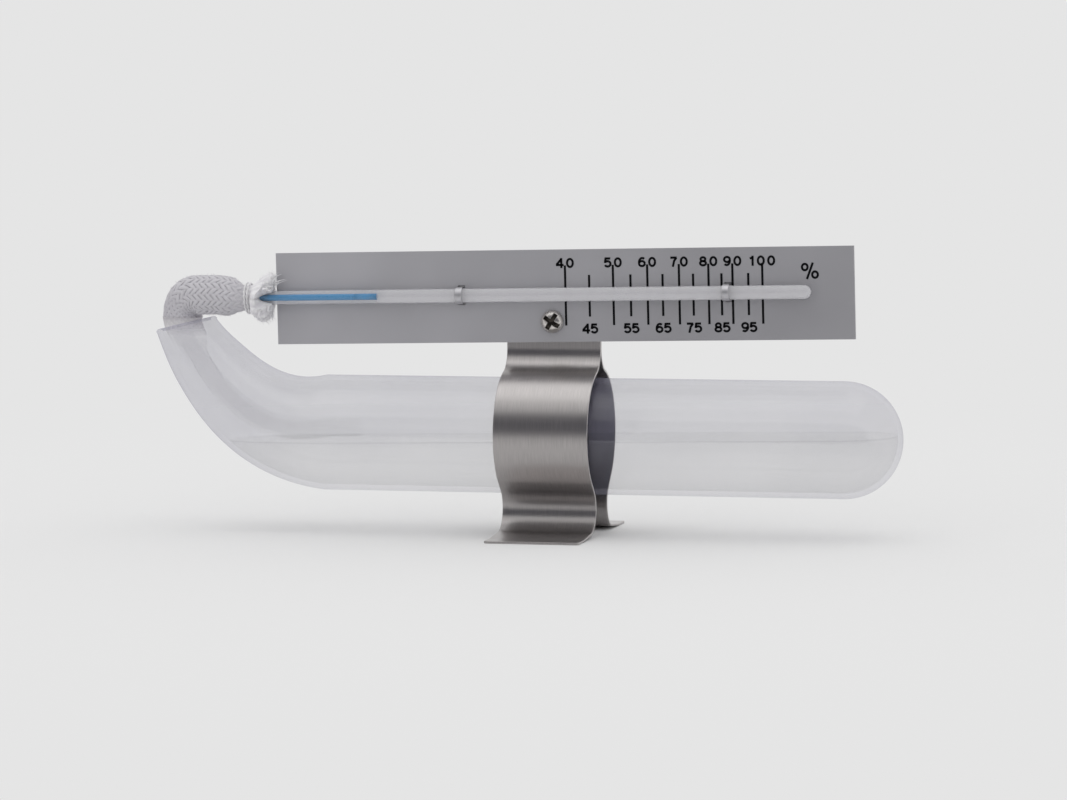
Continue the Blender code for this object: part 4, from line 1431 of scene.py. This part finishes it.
@dataclass
class Path:
    """A soft tube's path: its middle, its upward direction and its radius at each length."""

    stations: np.ndarray
    places: np.ndarray
    ups: np.ndarray
    radii: np.ndarray

    def radius(self, along: np.ndarray) -> np.ndarray:
        """Radius of the tube at each length."""
        return np.interp(along, self.stations, self.radii)

    def points(self, along: Any, angle: Any, reach: Any) -> np.ndarray:
        """Points round the path's middle.

        Args:
            along: Length along the path.
            angle: Angle round it, 0 up and a quarter turn to the front.
            reach: Distance from its middle.

        Returns:
            Rows of x, y, z.
        """
        along, angle, reach = (a[..., None] for a in np.broadcast_arrays(along, angle, reach))
        place, up = (read_off(along[..., 0], self.stations, t) for t in (self.places, self.ups))
        return place + reach * (up * np.cos(angle) - np.array(BACKWARD) * np.sin(angle))

    def roots(self, along: Any, angle: Any, reach: Any) -> tuple[np.ndarray, np.ndarray]:
        """Points as above, and the unit direction away from the middle at each."""
        points = self.points(along, angle, reach)
        return points, unit(points - self.points(along, angle, 0.0))


@dataclass
class CottonWick:
    """Braided sleeve over the bulb, its binding, frayed end, and the tail in the neck.

    Lengths run from the ruffle's open end at the plate over the bulb to the tail's end.
    """

    reservoir: Reservoir
    radius: float = 4.35 * MM
    slack: float = 0.8 * MM
    corner_room: float = 0.2 * MM
    leg_shift: float = 0.9 * MM
    mouth_depth: float = 3.4 * MM
    mouth_radius: float = 4.1 * MM
    tail_radius: float = 2.0 * MM
    tail_length: float = 8.0 * MM
    tail_sag: float = 1.9 * MM
    tail_float: float = 1.2 * MM
    tail_relief: float = 0.12 * MM
    start: float = -61.74 * MM
    ruffle_length: float = 4.4 * MM
    ruffle_radius: float = 5.6 * MM
    groove_length: float = 1.8 * MM
    groove_radius: float = 2.75 * MM
    groove_swell: float = 2.2
    binding_room: float = 0.3 * MM
    thread_radius: float = 0.25 * MM
    ply_radius: float = 0.15 * MM
    ply_offset: float = 0.11 * MM
    yarns: int = 20
    yarn_width: float = 0.9 * MM
    yarn_thickness: float = 0.34 * MM
    yarn_step: float = 0.19 * MM
    wave: float = 0.11 * MM
    leg_start: float = 19.0 * MM
    leg_run: float = 4.0 * MM
    leg_smooth: float = 0.75
    leg_tone: float = 0.5
    leg_fold: float = 0.3
    core_inset: float = 0.38 * MM
    notch_height: float = 1.9 * MM
    notch_length: float = 2.7 * MM
    fibre_radius: float = 0.05 * MM
    tuft_radius: float = 0.3 * MM
    overlap: float = 0.3 * MM
    mark_radius: float = 4.0 * MM
    sleeve_blend: tuple = ((-0.0687, 0.0, 0.0496), (-0.0723, 0.0, 0.0460))
    tail_blend: tuple = ((-0.0766, 0.0, 0.0456), (-0.0766, 0.0, 0.0436))
    seed: int = 7

    def groove_x(self) -> float:
        """Plate-frame X of the middle of the binding's groove."""
        return self.start - self.ruffle_length - self.groove_length / 2

    def leg_top(self) -> tuple[float, float]:
        """Top of the wick's leg.

        Returns:
            Its plate-frame X and Z.
        """
        mouth = self.reservoir.mouth
        leg_x, _ = stand_to_plate(mouth[0] - self.leg_shift, mouth[1])
        return leg_x, STEM_RISE + self.slack - self.radius - 2 * self.corner_room

    def sleeve_line(self) -> np.ndarray:
        """Middle of the sleeve.

        Returns:
            Rows of plate-frame x and z.
        """
        leg_x, leg_z = self.leg_top()
        high = STEM_RISE + self.slack
        corners = [
            (self.start, STEM_RISE),
            (self.groove_x() - self.groove_length, STEM_RISE),
            (BULB_SHOULDER - 3.2 * MM, high),
            (leg_x, high),
            (leg_x, leg_z),
        ]
        return rounded_line(corners, [self.radius + self.corner_room] * 3)

    def tail_line(self) -> np.ndarray:
        """Middle of the tail from the top of the leg to its end.

        It sags below the neck's middle by a half wave, and floats up again over its second half.

        Returns:
            Rows of stand-frame x and z.
        """
        mouth, angle = np.array(self.reservoir.mouth), self.reservoir.neck_angle
        inside = mouth + self.mouth_depth * np.array([math.cos(angle), -math.sin(angle)])
        corners = [plate_to_stand(*self.leg_top()), mouth - [self.leg_shift, 0.0], inside]
        neck = self.reservoir.neck_line()
        lengths = lengths_along(neck)
        sag = self.tail_sag * np.sin(math.pi * lengths / lengths[-1])
        kept = lengths < lengths[-1] - 1.5 * self.mouth_depth
        neck = (neck + sag[:, None] * left_of(directions(neck)))[kept][::-1]
        bend = self.reservoir.bend_x
        xs = np.linspace(bend, bend + self.tail_length, 10)[1:]
        level = np.column_stack([xs, 0 * xs])
        line = np.vstack([rounded_line(corners, [self.radius]), neck, level])
        lengths = lengths_along(line)
        line[:, 1] += self.tail_float * smooth(2 * lengths / lengths[-1] - 1)
        return line

    def whole_path(self) -> tuple[Path, float]:
        """The path of the whole wick, from the ruffle's open end to the tail's end.

        Returns:
            The path in the row frame, and the length at which the sleeve meets the tail.
        """
        sleeve, tail = self.sleeve_line(), self.tail_line()[1:]
        seam = float(lengths_along(sleeve)[-1])
        line = np.vstack([
            plate_points(np.column_stack([sleeve[:, 0], 0 * sleeve[:, 0], sleeve[:, 1]])),
            np.column_stack([tail[:, 0], 0 * tail[:, 0], tail[:, 1]]) + STAND_SHIFT,
        ])
        total = lengths_along(line)[-1]
        stations = np.linspace(0.0, total, 700)
        places = resample(line, stations)
        slopes = [np.convolve(np.pad(column, 4, mode="edge"), np.ones(9) / 9, mode="valid")
                  for column in directions(places).T]
        slopes = unit(np.column_stack(slopes))
        ups = np.column_stack([slopes[:, 2], 0 * stations, -slopes[:, 0]])
        bulb_end = self.start - BULB_TIP - BULB_RADIUS
        places[:, 1] = STEM_Y * (1 - smooth((stations - bulb_end) / (seam - bulb_end)))
        return Path(stations, places, ups, self.radii(stations, seam, total)), seam

    def radii(self, stations: np.ndarray, seam: float, total: float) -> np.ndarray:
        """Radius of the wick at each length.

        Args:
            stations: Lengths from the ruffle's open end.
            seam: Where the leg starts.
            total: The wick's whole length.

        Returns:
            Radii.
        """
        past_groove = stations - self.ruffle_length - self.groove_length
        swell = smooth(past_groove / (self.groove_swell * self.groove_length))
        full = self.groove_radius + (self.radius - self.groove_radius) * swell
        share = np.clip(stations / self.ruffle_length, 0.0, 1.0)
        flare = np.sqrt(np.sin(math.pi * share).clip(0.0))
        ruffle = self.groove_radius + (self.ruffle_radius - self.groove_radius) * flare
        radii = np.where(stations < self.ruffle_length, ruffle, full)
        mouth = self.leg_top()[1] - stand_to_plate(*self.reservoir.mouth)[1]
        below = stations - seam
        radii = radii - (self.radius - self.mouth_radius) * smooth(below / mouth)
        thinner = smooth((below - mouth) / ((total - seam) / 7))
        radii = radii - (self.mouth_radius - self.tail_radius) * thinner
        end = np.clip(1 - (total - stations) / (self.tail_radius / 2), 0.0, 1.0)
        return radii * np.sqrt(1 - 0.8 * end**2)

    def braid(self, path: Path, start: float, end: float, finish: Material) -> Piece:
        """Builds the sleeve's braided yarns.

        Yarns run both ways round at 45 degrees. Each passes over two of the others and under two:
        its height is a wave of the number of crossings it has behind it. Its colour carries painted
        shade, lighter where it passes over and on its upper side, darker at its edges. Down the leg
        the relief and this painted shade give way to painted shade of soft folds, in bands round
        the leg.

        Args:
            path: The wick's path.
            start: Length where the yarns begin.
            end: Length where they end.
            finish: Cotton.

        Returns:
            The piece.
        """
        along = np.linspace(start, end, int((end - start) / self.yarn_step) + 1)[:, None]
        spin = along / self.radius
        relief = 1 - self.leg_smooth * smooth((along - self.leg_start) / self.leg_run)
        cos, sin = np.cos(circle(8)), np.sin(circle(8))
        width = np.sign(cos) * np.abs(cos) ** 0.7 * self.yarn_width / 2
        slant = width / math.sqrt(2)
        skin = Skin()
        for way in (1, -1):
            for number in range(self.yarns):
                angle = way * spin + number * 2 * math.pi / self.yarns
                crossings = number + (angle + way * spin) * self.yarns / (2 * math.pi)
                over = way * np.cos(math.pi / 2 * crossings - math.pi / 4) * relief
                turn = angle + way * slant / path.radius(along)
                lift = self.wave * (over - 1) + self.yarn_thickness / 2 * (sin - 1)
                grid = path.points(along - slant, turn, path.radius(along - slant) + lift)
                # Painted shade: lighter on the upper side and where the yarn passes over, darker at
                # its edges and where it passes under.
                crown = np.clip(0.5 + 0.35 * over + 0.5 * sin - 0.35 * np.abs(cos) ** 3, 0.0, 1.0)
                # Painted shade of soft folds down the leg, in bands round it.
                fold = self.leg_tone + self.leg_fold * np.cos(3 * turn + 1.0)
                marks = marks_of(grid, along + number, width, fold + (crown - fold) * relief)
                skin.add_grid(grid[:, ::-way], marks[:, ::-way])
        return skin.build("sleeve_braid", finish)

    def tail_skin(self, path: Path, start: float, end: float, finish: Material) -> Piece:
        """Builds the wet tail as one skin, with the braid as a low relief on it.

        The relief is the higher of two crossing families of waves, one running each way round. It
        fades out where the tail goes under water.

        Args:
            path: The wick's path.
            start: Length where it begins.
            end: Length where it ends.
            finish: Wet cotton.

        Returns:
            The piece.
        """
        along = np.linspace(start, end, int((end - start) / (0.14 * MM)))[:, None]
        angle, spin = circle(144), along / self.radius
        one, other = (angle - spin) * self.yarns / 2, (angle + spin) * self.yarns / 2
        weave = 0.3 * np.cos(one + other - math.pi / 4)
        relief = np.maximum(np.cos(one) ** 2 + weave, np.cos(other) ** 2 - weave)
        sunk = smooth(4 * (along - start) / (end - start) - 1)
        lift = self.tail_relief * (relief - 1.0) * (1 - sunk)
        grid = path.points(along, angle, path.radius(along) + lift)
        # Painted shade: darker in the weave's troughs.
        tone = np.clip(0.2 + 0.8 * relief, 0.0, 1.0)
        marks = marks_of(grid, along, angle * self.mark_radius, tone)
        return skin_piece("wet_tail", grid, finish, marks, turn=True)

    def core(self, path: Path, start: float, end: float, finish: Material) -> Piece:
        """Builds the plain cotton under the yarns; its darker colour is painted shade in the gaps
        between them.

        Args:
            path: The wick's path.
            start: Length where it begins.
            end: Length where it ends.
            finish: Cotton.

        Returns:
            The piece.
        """
        along = np.linspace(start, end, int((end - start) / (0.4 * MM)) + 2)[:, None]
        angle = circle(56)
        grid = path.points(along, angle, path.radius(along) - self.core_inset)
        # Nearly all edge colour: painted shade between the yarns.
        marks = marks_of(grid, along, angle * self.mark_radius, 0.05)
        return skin_piece("sleeve_core", grid, finish, marks, turn=True)

    def fibres(
        self, name: str, roots: np.ndarray, ways: np.ndarray, lengths: np.ndarray, finish: Material
    ) -> Piece:
        """Builds loose fibres as thin tapered threads that curl a little.

        Args:
            name: The piece's name.
            roots: Where each starts.
            ways: Direction in which each leaves.
            lengths: How long each is.
            finish: Cotton.

        Returns:
            The piece.
        """
        draw = np.random.default_rng(self.seed)
        skin = Skin()
        shares = np.linspace(0.0, 1.0, 6)[:, None]
        thick = self.fibre_radius * (1 - 0.8 * shares)
        for root, way, length in zip(roots, unit(ways), lengths):
            line = root + length * (shares * way + shares**2 * draw.normal(0.0, 0.28, 3))
            side = unit(np.cross(way, [0.3, 0.9, 0.2]))
            rings = ring_about(line, side, np.cross(side, way), thick, 4)
            skin.add_grid(rings, marks_of(rings, shares * length, third=0.9))
        return skin.build(name, finish)

    def ruffle_reach(self, along: np.ndarray, angle: np.ndarray) -> np.ndarray:
        """How far the ruffle stands out from the stem.

        It swells from the binding and falls again at the open end, later in the upper half. Three
        lobes and finer pleats are waves round it that turn as they go along.

        Args:
            along: Length from the open end.
            angle: Angle round it, 0 up and a quarter turn to the front.

        Returns:
            Reach over the stem's glass.
        """
        share = np.clip(along / self.ruffle_length, 0.0, 1.0)
        skew = 0.9 + 0.8 * np.cos(angle).clip(0.0)
        swell = np.sin(math.pi * (1 - share) ** skew).clip(0.0) ** 0.5
        lobes = 0.5 * np.cos(3 * angle + 2.4 - 1.3 * share)
        lobes = lobes + 0.3 * np.cos(5 * angle - 1.0 + 2 * share)
        pleats = 0.16 * np.cos(16 * angle + 7 * share) + 0.12 * np.cos(29 * angle - 5 * share)
        pleats = pleats * (0.6 + 0.4 * np.cos(9 * share + 3 * np.cos(4 * angle)))
        bound = self.groove_radius - STEM_RADIUS
        full = self.ruffle_radius - STEM_RADIUS - 0.6 * MM + (lobes + pleats) * MM
        return bound * smooth(4 * share) + (full - bound) * swell

    def build_ruffle(self, path: Path, finish: Material) -> Piece:
        """Builds the ruffle: gathered cotton round the stem, split open in front at its end.

        Each ring is a C that runs round the back from one side of the split to the other and back
        again along the stem. Points further out lean right over the plate's edge in the upper
        front half, and droop left in the lower half.

        Args:
            path: The wick's path.
            finish: Cotton.

        Returns:
            The piece.
        """
        rows, count = 60, 150
        end = self.ruffle_length + 0.8 * MM
        along = np.linspace(0.0, end, rows)[:, None]
        split = self.notch_height * np.sqrt(np.clip(1 - along / self.notch_length, 0.0, 1.0))
        half = np.arcsin(np.clip(split / (STEM_RADIUS + 1.0 * MM), 0.0, 0.95))
        turn = np.linspace(0.0, 1.0, count)[None]
        angle = math.pi / 2 + half + turn * (2 * math.pi - 2 * half)
        off_split = np.clip(np.minimum(turn, 1 - turn) / 0.1, 0.0, 1.0)
        rounding = np.sqrt(1 - (1 - off_split) ** 2)
        reach = self.ruffle_reach(along, angle) * (1 - smooth(split / (0.7 * MM)) * (1 - rounding))
        inner = np.full(reach.shape, STEM_RADIUS + 0.05 * MM)
        high = np.cos(angle)
        lean = high.clip(0.0) * smooth(np.sin(angle) + 0.6) - 0.3 * (-high).clip(0.0)
        shift = (0.8 + 0.3 * np.cos(11 * angle)) * lean * (reach - 1.2 * MM).clip(0.0)
        angles = np.hstack([angle, angle[:, ::-1]])
        grid = path.points(along, angles, np.hstack([inner + reach, inner]))
        grid[:, :count] += shift[..., None] * PLATE_WAY
        # Painted shade: lighter on the pleats' crests, darker between them.
        tone = 0.6 + 0.4 * np.cos(16 * angles + 7 * along / end)
        skin = Skin()
        skin.add_grid(grid, marks_of(grid, along, angles * self.mark_radius, tone), capped=False)
        one = np.arange(count - 1)
        cap = np.column_stack([one, one + 1, 2 * count - 2 - one, 2 * count - 1 - one])
        skin.faces += [cap[:, ::-1], cap + (rows - 1) * 2 * count]
        return skin.build("ruffle_puff", finish)

    def build_tufts(self, path: Path, finish: Material) -> Piece:
        """Builds loose yarn ends out of the ruffle: tapered tubes that bend to the right.

        Args:
            path: The wick's path.
            finish: Cotton.

        Returns:
            The piece.
        """
        draw = np.random.default_rng(self.seed + 3)
        skin = Skin()
        shares = np.linspace(0.0, 1.0, 10)[:, None]
        thick = self.tuft_radius * (1 - 0.85 * shares**1.5)
        for angle in np.concatenate([draw.uniform(-0.5, 1.2, 16), draw.uniform(2.0, 3.6, 6)]):
            along, high = np.array([draw.uniform(0.3, 2.2)]) * MM, math.cos(angle)
            reach = STEM_RADIUS + 0.75 * self.ruffle_reach(along, angle)
            roots, outs = path.roots(along, angle, reach)
            root, out = roots[0] + PLATE_WAY * 0.4 * max(high, 0.0) * reach, outs[0]
            length = draw.uniform(1.2, 2.4) * MM
            bend = PLATE_WAY * draw.uniform(0.5, 1.3) * max(high, 0.2) + draw.normal(0.0, 0.2, 3)
            bend[1] = -abs(bend[1])
            line = root + length * (shares * out * draw.uniform(0.3, 0.8) + shares**1.5 * bend)
            side = np.cross(out, PLATE_WAY)
            rings = ring_about(line, side, np.cross(side, out), thick, 10)
            skin.add_grid(rings, marks_of(rings, shares * length, third=0.7))
        return skin.build("ruffle_tufts", finish)

    def frayed_end(self, path: Path, finish: Material) -> Piece:
        """Builds the frayed yarns that stand out of the ruffle's open end over the plate's edge.

        Args:
            path: The wick's path.
            finish: Cotton.

        Returns:
            The piece.
        """
        draw = np.random.default_rng(self.seed + 1)
        count = 700
        along = draw.uniform(0.1 * MM, 0.9 * self.ruffle_length, count)
        angle = np.where(draw.uniform(0.0, 1.0, count) < 0.5, draw.uniform(-0.7, 1.1, count),
                         draw.uniform(2.0, 6.0, count))
        reach, high = self.ruffle_reach(along, angle), np.cos(angle)
        roots, out = path.roots(along, angle, STEM_RADIUS + 0.9 * reach)
        lean = (0.6 * high.clip(0.0) - 0.2 * (-high).clip(0.0)) * smooth(np.sin(angle) + 0.6)
        roots = roots + (lean * reach)[:, None] * PLATE_WAY
        ways = out * draw.uniform(0.25, 1.0, (count, 1))
        ways = ways + PLATE_WAY * draw.uniform(0.1, 0.8, (count, 1))
        return self.fibres("ruffle_fibres", roots, ways, draw.uniform(0.5, 1.5, count) * MM, finish)

    def fuzz(self, path: Path, end: float, finish: Material) -> Piece:
        """Builds the short fibres that stand off the sleeve.

        Args:
            path: The wick's path.
            end: Length up to which they grow.
            finish: Cotton.

        Returns:
            The piece.
        """
        draw = np.random.default_rng(self.seed + 2)
        count = 500
        along = draw.uniform(self.ruffle_length + self.groove_length, end, count)
        angle = draw.uniform(0.0, 2 * math.pi, count)
        roots, out = path.roots(along, angle, path.radius(along) - 0.1 * MM)
        ways = out + draw.normal(0.0, 0.8, (count, 3))
        return self.fibres("sleeve_fuzz", roots, ways, draw.uniform(0.2, 0.6, count) * MM, finish)

    def build_binding(self, finish: Material) -> Piece:
        """Builds the binding thread: two twisted plies wound twice round the sleeve.

        Args:
            finish: Cotton.

        Returns:
            The piece.
        """
        radius = self.groove_radius + self.binding_room + self.thread_radius
        pitch = 2 * self.thread_radius + 0.1 * MM
        angles = np.linspace(0.0, 4 * math.pi, 200)[:, None]
        out = np.hstack([0 * angles, np.cos(angles), np.sin(angles)])
        right = np.array(RIGHT)
        middle = np.array([self.groove_x() - pitch, STEM_Y, STEM_RISE])
        line = middle + pitch * angles / (2 * math.pi) * right + radius * out
        skin = Skin()
        for start in (0.0, math.pi):
            twist = angles * 9 + start
            ply = line + self.ply_offset * (np.cos(twist) * out + np.sin(twist) * right)
            rings = ring_about(ply, out, right, self.ply_radius, 10)
            skin.add_grid(plate_points(rings), marks_of(rings, angles * radius, third=0.85))
        return skin.build("binding_plies", finish)

    def build(self, yarn: Material, core: Material, wet: Material, tuft: Material) -> None:
        """Builds all cotton pieces.

        Args:
            yarn: Cotton of the yarns.
            core: Cotton under the yarns.
            wet: Wet cotton of the tail.
            tuft: Loose, paler cotton of the ruffle and binding.
        """
        path, seam = self.whole_path()
        end = seam + self.overlap
        sleeve = self.braid(path, self.ruffle_length + 0.6 * MM, end, yarn)
        wrap = self.core(path, self.ruffle_length + self.groove_length, end, core)
        dress(sleeve, "scale clip", Slot.COTTON, ["wick_sleeve"], *self.sleeve_blend)
        for piece in (wrap, self.fuzz(path, 0.9 * seam, yarn)):
            dress(piece, "scale clip", Slot.COTTON, (), *self.sleeve_blend)
        dress(self.build_ruffle(path, tuft), "scale", Slot.COTTON)
        dress(self.frayed_end(path, tuft), "scale", Slot.COTTON)
        dress(self.build_tufts(path, tuft), "scale", Slot.COTTON)
        dress(self.build_binding(tuft), "scale", Slot.COTTON, ["binding_thread"])
        tail = self.tail_skin(path, seam, float(path.stations[-1]), wet)
        dress(tail, "clip reservoir", Slot.COTTON, ["wick_tail"], *self.tail_blend)


# The studio


@dataclass(frozen=True)
class GroundPool:
    """Pale ground that catches the shadow near the object."""

    colour: Colour
    inner: float = 0.16
    outer: float = 0.34

    def build(self) -> Material:
        """Builds the material, which turns smoothly into the backdrop's colour further out.

        Returns:
            The material.
        """
        graph = new_graph("studio_ground")
        flat = graph.place((1.0, 1.0, 0.0))
        off = graph.add("VectorMath", {0: flat}, operation="LENGTH")["Value"]
        sockets = {"Value": off, 1: self.inner, 2: self.outer, 3: 0.0, 4: 1.0}
        share = graph.add("MapRange", sockets, interpolation_type="SMOOTHSTEP")[0]
        plain = graph.add("BsdfDiffuse", {"Color": rgba(*self.colour)})[0]
        even = graph.add("Emission", {"Color": rgba(*self.colour), "Strength": 1.0})[0]
        return graph.show(graph.mix_shaders(share, plain, even))


@dataclass
class Studio:
    """Camera, pale ground and soft light."""

    yaw: float = math.radians(13.73)
    pitch: float = math.radians(4.705)
    roll: float = math.radians(-0.334)
    distance: float = 1.0496
    lens: float = 164.64
    sensor: float = 36.0
    reach: float = 20.0
    target: tuple[float, float, float] = (0.00212, 0.0, 0.02868)
    ground: Colour = (229, 229, 229)
    ground_side: float = 3.0
    ground_near: float = 0.4
    ground_far: float = 6.0
    card: Colour = (88, 88, 96)
    card_side: float = 2.5
    card_y: float = -1.5
    card_low: float = -0.26
    card_high: float = 1.2
    level: float = 0.86
    lamp_height: float = 2.0
    lamp_size: tuple[float, float] = (2.4, 2.0)
    lamp_radiance: float = 0.55

    def add_camera(self) -> None:
        """Adds the camera that sees the object as the photograph does."""
        back = Vector((math.sin(self.yaw) * math.cos(self.pitch),
                       -math.cos(self.yaw) * math.cos(self.pitch), math.sin(self.pitch)))
        right = Vector((math.cos(self.yaw), math.sin(self.yaw), 0.0))
        up = back.cross(right)
        cos, sin = math.cos(self.roll), math.sin(self.roll)
        axes = (cos * right + sin * up, -sin * right + cos * up, back)
        data = bpy.data.cameras.new("camera")
        data.lens, data.sensor_width, data.clip_end = self.lens, self.sensor, self.reach
        camera = bpy.data.objects.new("camera", data)
        turn = Matrix(axes).transposed().to_4x4()
        camera.matrix_world = Matrix.Translation(Vector(self.target) + back * self.distance) @ turn
        bpy.context.scene.collection.objects.link(camera)
        bpy.context.scene.camera = camera

    def add_card(self, name: str, corners: list[tuple], finish: Material) -> Piece:
        """Adds a flat studio surface.

        Args:
            name: Its name.
            corners: Its four corners.
            finish: Its material.

        Returns:
            The card.
        """
        skin = Skin()
        skin.add(np.array(corners, float), [QUAD])
        card = skin.build(name, finish, flat=True)
        return card

    def add_light(self) -> None:
        """Adds an oblong soft light overhead, which glass doesn't show."""
        data = bpy.data.lights.new("top_light", "AREA")
        data.shape = "RECTANGLE"
        data.size, data.size_y = self.lamp_size
        data.energy = self.lamp_radiance * math.pi * self.lamp_size[0] * self.lamp_size[1]
        light = bpy.data.objects.new("top_light", data)
        light.visible_transmission = False
        light.location = (0.0, 0.0, self.lamp_height)
        bpy.context.scene.collection.objects.link(light)

    def set_world(self) -> None:
        """Sets the world: the ground's colour to the camera and through glass, and even light."""
        graph = Graph(bpy.data.worlds.new("studio_world"), "World")
        rays = graph.add("LightPath")
        seen = graph.maths("MAXIMUM", rays["Is Camera Ray"], rays["Is Transmission Ray"])
        even = graph.add("Background", {"Color": WHITE, "Strength": self.level})[0]
        plain = graph.add("Background", {"Color": rgba(*self.ground), "Strength": 1.0})[0]
        bpy.context.scene.world = graph.show(graph.mix_shaders(seen, even, plain))

    def build(self) -> None:
        """Builds the studio."""
        bpy.context.scene.view_settings.view_transform = "Standard"
        self.add_camera()
        side, near, far = self.ground_side, -self.ground_near, self.ground_far
        corners = [(-side, near, 0), (side, near, 0), (side, far, 0), (-side, far, 0)]
        self.add_card("studio_ground", corners, GroundPool(self.ground).build())
        dark = PlainPaint("studio_dark_card", self.card, 0.9).build()
        side, y, low, high = self.card_side, self.card_y, self.card_low, self.card_high
        corners = [(-side, y, low), (side, y, low), (side, y, high), (-side, y, high)]
        card = self.add_card("dark_card", corners, dark)
        card.visible_camera = card.visible_diffuse = card.visible_transmission = False
        self.add_light()
        self.set_world()


def main() -> None:
    """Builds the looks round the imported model."""
    logging.basicConfig(level=logging.INFO, format="%(message)s")
    nodes = frame["nodes"]
    Studio().build()
    SpringClip().build(BrushedSteel().build(), BrightSteel().build(), nodes)
    ink = PlainPaint("scale_ink", (10, 10, 14)).build()
    # The ties' second colour is their painted shade.
    ties = BrightSteel("tie_finish", (206, 205, 208), (90, 89, 90), 0.45).build()
    ScalePlate().build(SatinSheet().build(), ink, ties, nodes)
    stem = ThinClear("stem_glass_finish", (214, 214, 217), 0.06, 0.4, 0.03, 0.75).build()
    spirit = PlainPaint("blue_spirit_finish", (70, 138, 186), 0.25, 0.3).build()
    Thermometer().build(stem, MilkyGlass().build(), spirit)
    glass = ThinClear("clear_glass_finish", (164, 162, 182), 0.18, 0.32, 0.03, 0.1).build()
    water = ThinClear("water_finish", (214, 212, 224), 0.003, 0.02, 0.0, 0.01).build()
    reservoir = Reservoir()
    reservoir.build(glass, water)
    yarn = Cotton("cotton_yarn_finish").build()
    # The core's darker colours are painted shade in the gaps between the yarns.
    core = Cotton("cotton_core_finish", (190, 187, 195), (160, 157, 166)).build()
    wet = Cotton("wet_cotton_finish", (232, 229, 230), (208, 205, 208), wet_cover=0.055).build()
    tuft = Cotton("ruffle_cotton_finish", (232, 231, 233), (214, 212, 217), scatter=0.6).build()
    CottonWick(reservoir).build(yarn, core, wet, tuft)


if __name__ == "__main__":
    main()
